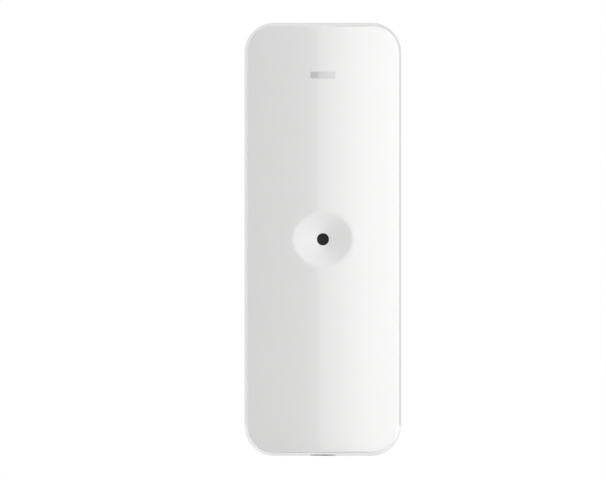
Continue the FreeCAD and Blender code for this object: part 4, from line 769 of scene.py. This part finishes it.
# Steps round the head's edge, steps in each turn of the thread, sides of its ridge, the tip's share of
# the core, and how far the cross's cutter stands above the head
roundSteps, threadSteps, ridgeSides, pointShare, crossAbove = 8, 32, 4, 0.45, 0.1


def lathePiece(name, outline, sides=64):
    # Turns an outline of (radius, height) places about the upright axis
    piece = newPiece(name, bpy.data.meshes.new(name))
    shell = bmesh.new()
    rings = []
    for radius, height in outline:
        ring = []
        for step in range(sides):
            turn = step / sides * math.tau
            place = Vector((radius * math.cos(turn), radius * math.sin(turn), height)) * millimetre
            ring.append(shell.verts.new(place))
        rings.append(ring)
    for low, high in zip(rings, rings[1:]):
        for step in range(sides):
            after = (step + 1) % sides
            shell.faces.new((low[step], low[after], high[after], high[step]))
    shell.faces.new(list(reversed(rings[0])))
    shell.faces.new(rings[-1])
    shell.to_mesh(piece.data)
    shell.free()
    return piece


def threadShape(graph, size):
    rise = size["length"] - size["start"] - size["point"]
    spiral = graph.node(
        "GeometryNodeCurveSpiral",
        values={
            "Resolution": threadSteps, "Rotations": rise / size["pitch"],
            "Start Radius": size["core"], "End Radius": size["core"], "Height": rise,
        },
    )
    upright = graph.node("GeometryNodeSetCurveNormal", {"mode": "Z_UP"}, {"Curve": spiral})
    ridge = graph.node(
        "GeometryNodeCurvePrimitiveCircle",
        values={"Resolution": ridgeSides, "Radius": size["shankRadius"] - size["core"]},
    )
    wound = graph.node(
        "GeometryNodeCurveToMesh", values={"Curve": upright, "Profile Curve": ridge, "Fill Caps": True}
    )
    place = graph.node("ShaderNodeCombineXYZ", values={"Z": size["point"] - size["length"]})
    return graph.node("GeometryNodeTransform", values={"Geometry": wound, "Translation": place})


def makeScrew(name, size):
    # Stands head up, with the head's underside at height 0
    core, length, edge = size["core"], size["length"], size["headRound"]
    outline = [(core * pointShare, -length), (core, size["point"] - length), (core, 0)]
    outline.append((size["headRadius"], 0))
    for step in range(roundSteps + 1):
        turn = step / roundSteps * math.pi / 2
        across = size["headRadius"] - edge * (1 - math.cos(turn))
        outline.append((across, size["headHeight"] - edge * (1 - math.sin(turn))))
    screw = lathePiece(name, outline)
    span, arm, top = size["crossSpan"], size["crossArm"], size["headHeight"] + crossAbove
    floor = size["headHeight"] - size["crossDepth"]
    cuts = [
        boxPiece("crossAcross", (-span, -arm, floor), (span, arm, top)),
        boxPiece("crossAlong", (-arm, -span, floor), (arm, span, top)),
    ]
    combine(screw, cuts, "DIFFERENCE")
    threadSizes = {key: size[key] for key in ("core", "shankRadius", "length", "point", "pitch", "start")}
    thread = grow(name + "Thread", threadSizes, threadShape, finishes["screw_steel"])
    joinPieces(screw, [thread])
    smoothUpTo(screw, screwAngle)
    return screw


def turnedCopy(piece, place, degrees):
    # The piece turned about the axis across, then moved; the turn goes into the mesh
    copy = newPiece("copy", piece.data.copy())
    turn = Matrix.Rotation(math.radians(degrees), 4, "X")
    copy.data.transform(Matrix.Translation(Vector(place) * millimetre) @ turn)
    return copy


def driveScrews(name, node, size):
    plain = makeScrew(name + "Plain", size)
    first, *others = [turnedCopy(plain, place, size["turn"]) for place in size["places"]]
    bpy.data.objects.remove(plain)
    first.name = name
    joinPieces(first, others)
    finish(first, "housing", "screw_steel", node)


driveScrews("CoverScrew", "case_screw", coverScrew)
driveScrews("BoardScrews", "board_screws", boardScrew)
stage("screws made")


# Stage, lights and camera

# The pixel, the camera's distance and the floor's side are in metres, and the frame and the object's
# middle in the photograph's pixels. The glow is how much of the floor the camera sees as plain white,
# the ambient is the light of the world, and a shine is how bright the floor or the world is in a
# reflection.
studio = {
    "pixel": 0.00025628, "frameWidth": 606, "frameHeight": 480, "objectAcross": 322.90, "objectDown": 239.28,
    "cameraDistance": 0.6, "floor": 6.0, "floorColour": (0.85, 0.85, 0.85), "floorGlow": 0.6,
    "floorShine": 0.86, "ambient": 0.1, "worldShine": 0.77,
}
# Lamps and cards are upright rectangles that stand on the floor. Each has its middle's place across
# and in depth, its turn about the upright axis from facing the back, its size and its light.
# The lamps light the scene. The cards are only seen in reflections: a card's light changes from left to
# right, and reaches its end value where the rise says, as a share of the width.
lamps = {
    "softPanel": {"place": (2.961, -1.5), "turn": 0, "width": 6.0, "height": 2.5, "light": 1.09},
    "leftPanel": {"place": (-1.6, -0.2), "turn": -90, "width": 2.4, "height": 2.0, "light": 1.25},
    "rightPanel": {"place": (1.6, -0.2), "turn": 90, "width": 2.4, "height": 2.0, "light": 3.0},
    "rearPanel": {"place": (-0.6, 1.5), "turn": 180, "width": 3.0, "height": 2.0, "light": 1.6},
}
cards = {
    "sheenCard": {
        "place": (0.02674, -0.073), "turn": 0, "width": 0.0585, "height": 0.115,
        "light": 0.95, "end": 2.5, "rise": 0.39,
    },
    "bandCard": {
        "place": (0.25, 2.0), "turn": 180, "width": 0.4, "height": 1.0,
        "light": 0.69, "end": 0.69, "rise": 1.0,
    },
    "darkCard": {
        "place": (0, -0.15), "turn": 0, "width": 0.18, "height": 0.135,
        "light": 0.0, "end": 0.0, "rise": 1.0,
    },
}


def whiteLight(graph, kind, strength):
    return graph.node(kind, values={"Color": (1, 1, 1, 1), "Strength": strength})


def seenMask(graph):  # 1 for what the camera sees, and 1 for what a reflection or glass sees
    path = graph.node("ShaderNodeLightPath", output="Is Camera Ray")
    shine = graph.maths("MAXIMUM", path.output("Is Glossy Ray"), path.output("Is Transmission Ray"))
    return path, shine


def mixShaders(graph, share, first, second):
    return graph.node("ShaderNodeMixShader", values={0: share, 1: first, 2: second})


def makeWorld():
    world = bpy.data.worlds.new("studio")
    bpy.context.scene.world = world
    world.use_nodes = True
    world.node_tree.nodes.clear()
    graph = Graph(world.node_tree)
    camera, shine = seenMask(graph)
    dim = whiteLight(graph, "ShaderNodeBackground", studio["ambient"])
    white = whiteLight(graph, "ShaderNodeBackground", 1.0)
    mirrored = whiteLight(graph, "ShaderNodeBackground", studio["worldShine"])
    direct = mixShaders(graph, camera, dim, white)
    show(graph, mixShaders(graph, shine, direct, mirrored), "ShaderNodeOutputWorld")


def makeFloorFinish():
    made = emptyMaterial("floor")
    graph = Graph(made.node_tree)
    camera, shine = seenMask(graph)
    pale = graph.node("ShaderNodeBsdfDiffuse", values={"Color": (*studio["floorColour"], 1)})
    white = whiteLight(graph, "ShaderNodeEmission", 1.0)
    mirrored = whiteLight(graph, "ShaderNodeEmission", studio["floorShine"])
    direct = mixShaders(graph, camera * studio["floorGlow"], pale, white)
    above = mixShaders(graph, shine, direct, mirrored)
    # From below the floor isn't there
    isBelow = graph.node("ShaderNodeNewGeometry", output="Backfacing")
    nothing = graph.node("ShaderNodeBsdfTransparent")
    show(graph, mixShaders(graph, isBelow, above, nothing), "ShaderNodeOutputMaterial")
    return made


def makeFloor():
    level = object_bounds()[0][2]
    half = studio["floor"] / 2
    mesh = bpy.data.meshes.new("floor")
    corners = [(-half, -half, level), (half, -half, level), (half, half, level), (-half, half, level)]
    mesh.from_pydata(corners, [], [(0, 1, 2, 3)])
    floor = newPiece("floor", mesh)
    wear(floor, makeFloorFinish())
    floor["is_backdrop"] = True


def makeLamps():
    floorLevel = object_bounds()[0][2]
    for name, look in lamps.items():
        light = bpy.data.lights.new(name, "AREA")
        light.shape = "RECTANGLE"
        light.size, light.size_y = look["width"], look["height"]
        # The same brightness at any size
        light.energy = look["light"] * math.pi * look["width"] * look["height"]
        lamp = newPiece(name, light)
        lamp.location = (*look["place"], floorLevel + look["height"] / 2)
        lamp.rotation_euler = (math.radians(90), 0, math.radians(look["turn"]))
        lamp.visible_camera = False
        lamp.visible_glossy = False


def makeGlow(name, look):
    made = emptyMaterial(name)
    graph = Graph(made.node_tree)
    place = graph.node("ShaderNodeTexCoord", output="Object")
    axes = graph.node("ShaderNodeSeparateXYZ", values={"Vector": place}, output="X")
    along = (axes - look["place"][0]) / look["width"] + 0.5
    share = graph.maths("MINIMUM", along / look["rise"], 1)
    start = whiteLight(graph, "ShaderNodeEmission", look["light"])
    end = whiteLight(graph, "ShaderNodeEmission", look["end"])
    show(graph, mixShaders(graph, share, start, end), "ShaderNodeOutputMaterial")
    made.cycles.emission_sampling = "NONE"  # a card lights nothing
    return made


def makeCards():
    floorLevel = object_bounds()[0][2]
    for name, look in cards.items():
        turn = math.radians(look["turn"])
        middle = Vector((*look["place"], floorLevel))
        side = Vector((math.cos(turn), math.sin(turn), 0)) * look["width"] / 2
        rise = Vector((0, 0, look["height"]))
        corners = [middle - side, middle + side, middle + side + rise, middle - side + rise]
        mesh = bpy.data.meshes.new(name)
        mesh.from_pydata(corners, [], [(0, 1, 2, 3)])
        card = newPiece(name, mesh)
        wear(card, makeGlow(name, look))
        card.visible_camera = False
        card.visible_diffuse = False
        card.visible_shadow = False
        card.visible_transmission = False
        card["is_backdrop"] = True


def makeCamera():
    lens = bpy.data.cameras.new("photographCamera")
    lens.type = "ORTHO"
    lens.ortho_scale = studio["frameWidth"] * studio["pixel"]
    camera = bpy.data.objects.new("photographCamera", lens)
    across = (studio["frameWidth"] / 2 - studio["objectAcross"]) * studio["pixel"]
    up = (studio["objectDown"] - studio["frameHeight"] / 2) * studio["pixel"]
    camera.location = (across, -studio["cameraDistance"], up)
    camera.rotation_euler = (math.radians(90), 0, 0)
    bpy.context.scene.collection.objects.link(camera)
    bpy.context.scene.camera = camera


makeWorld()
makeFloor()
makeLamps()
makeCards()
makeCamera()
bpy.context.scene.view_settings.view_transform = "Standard"
stage("studio made")
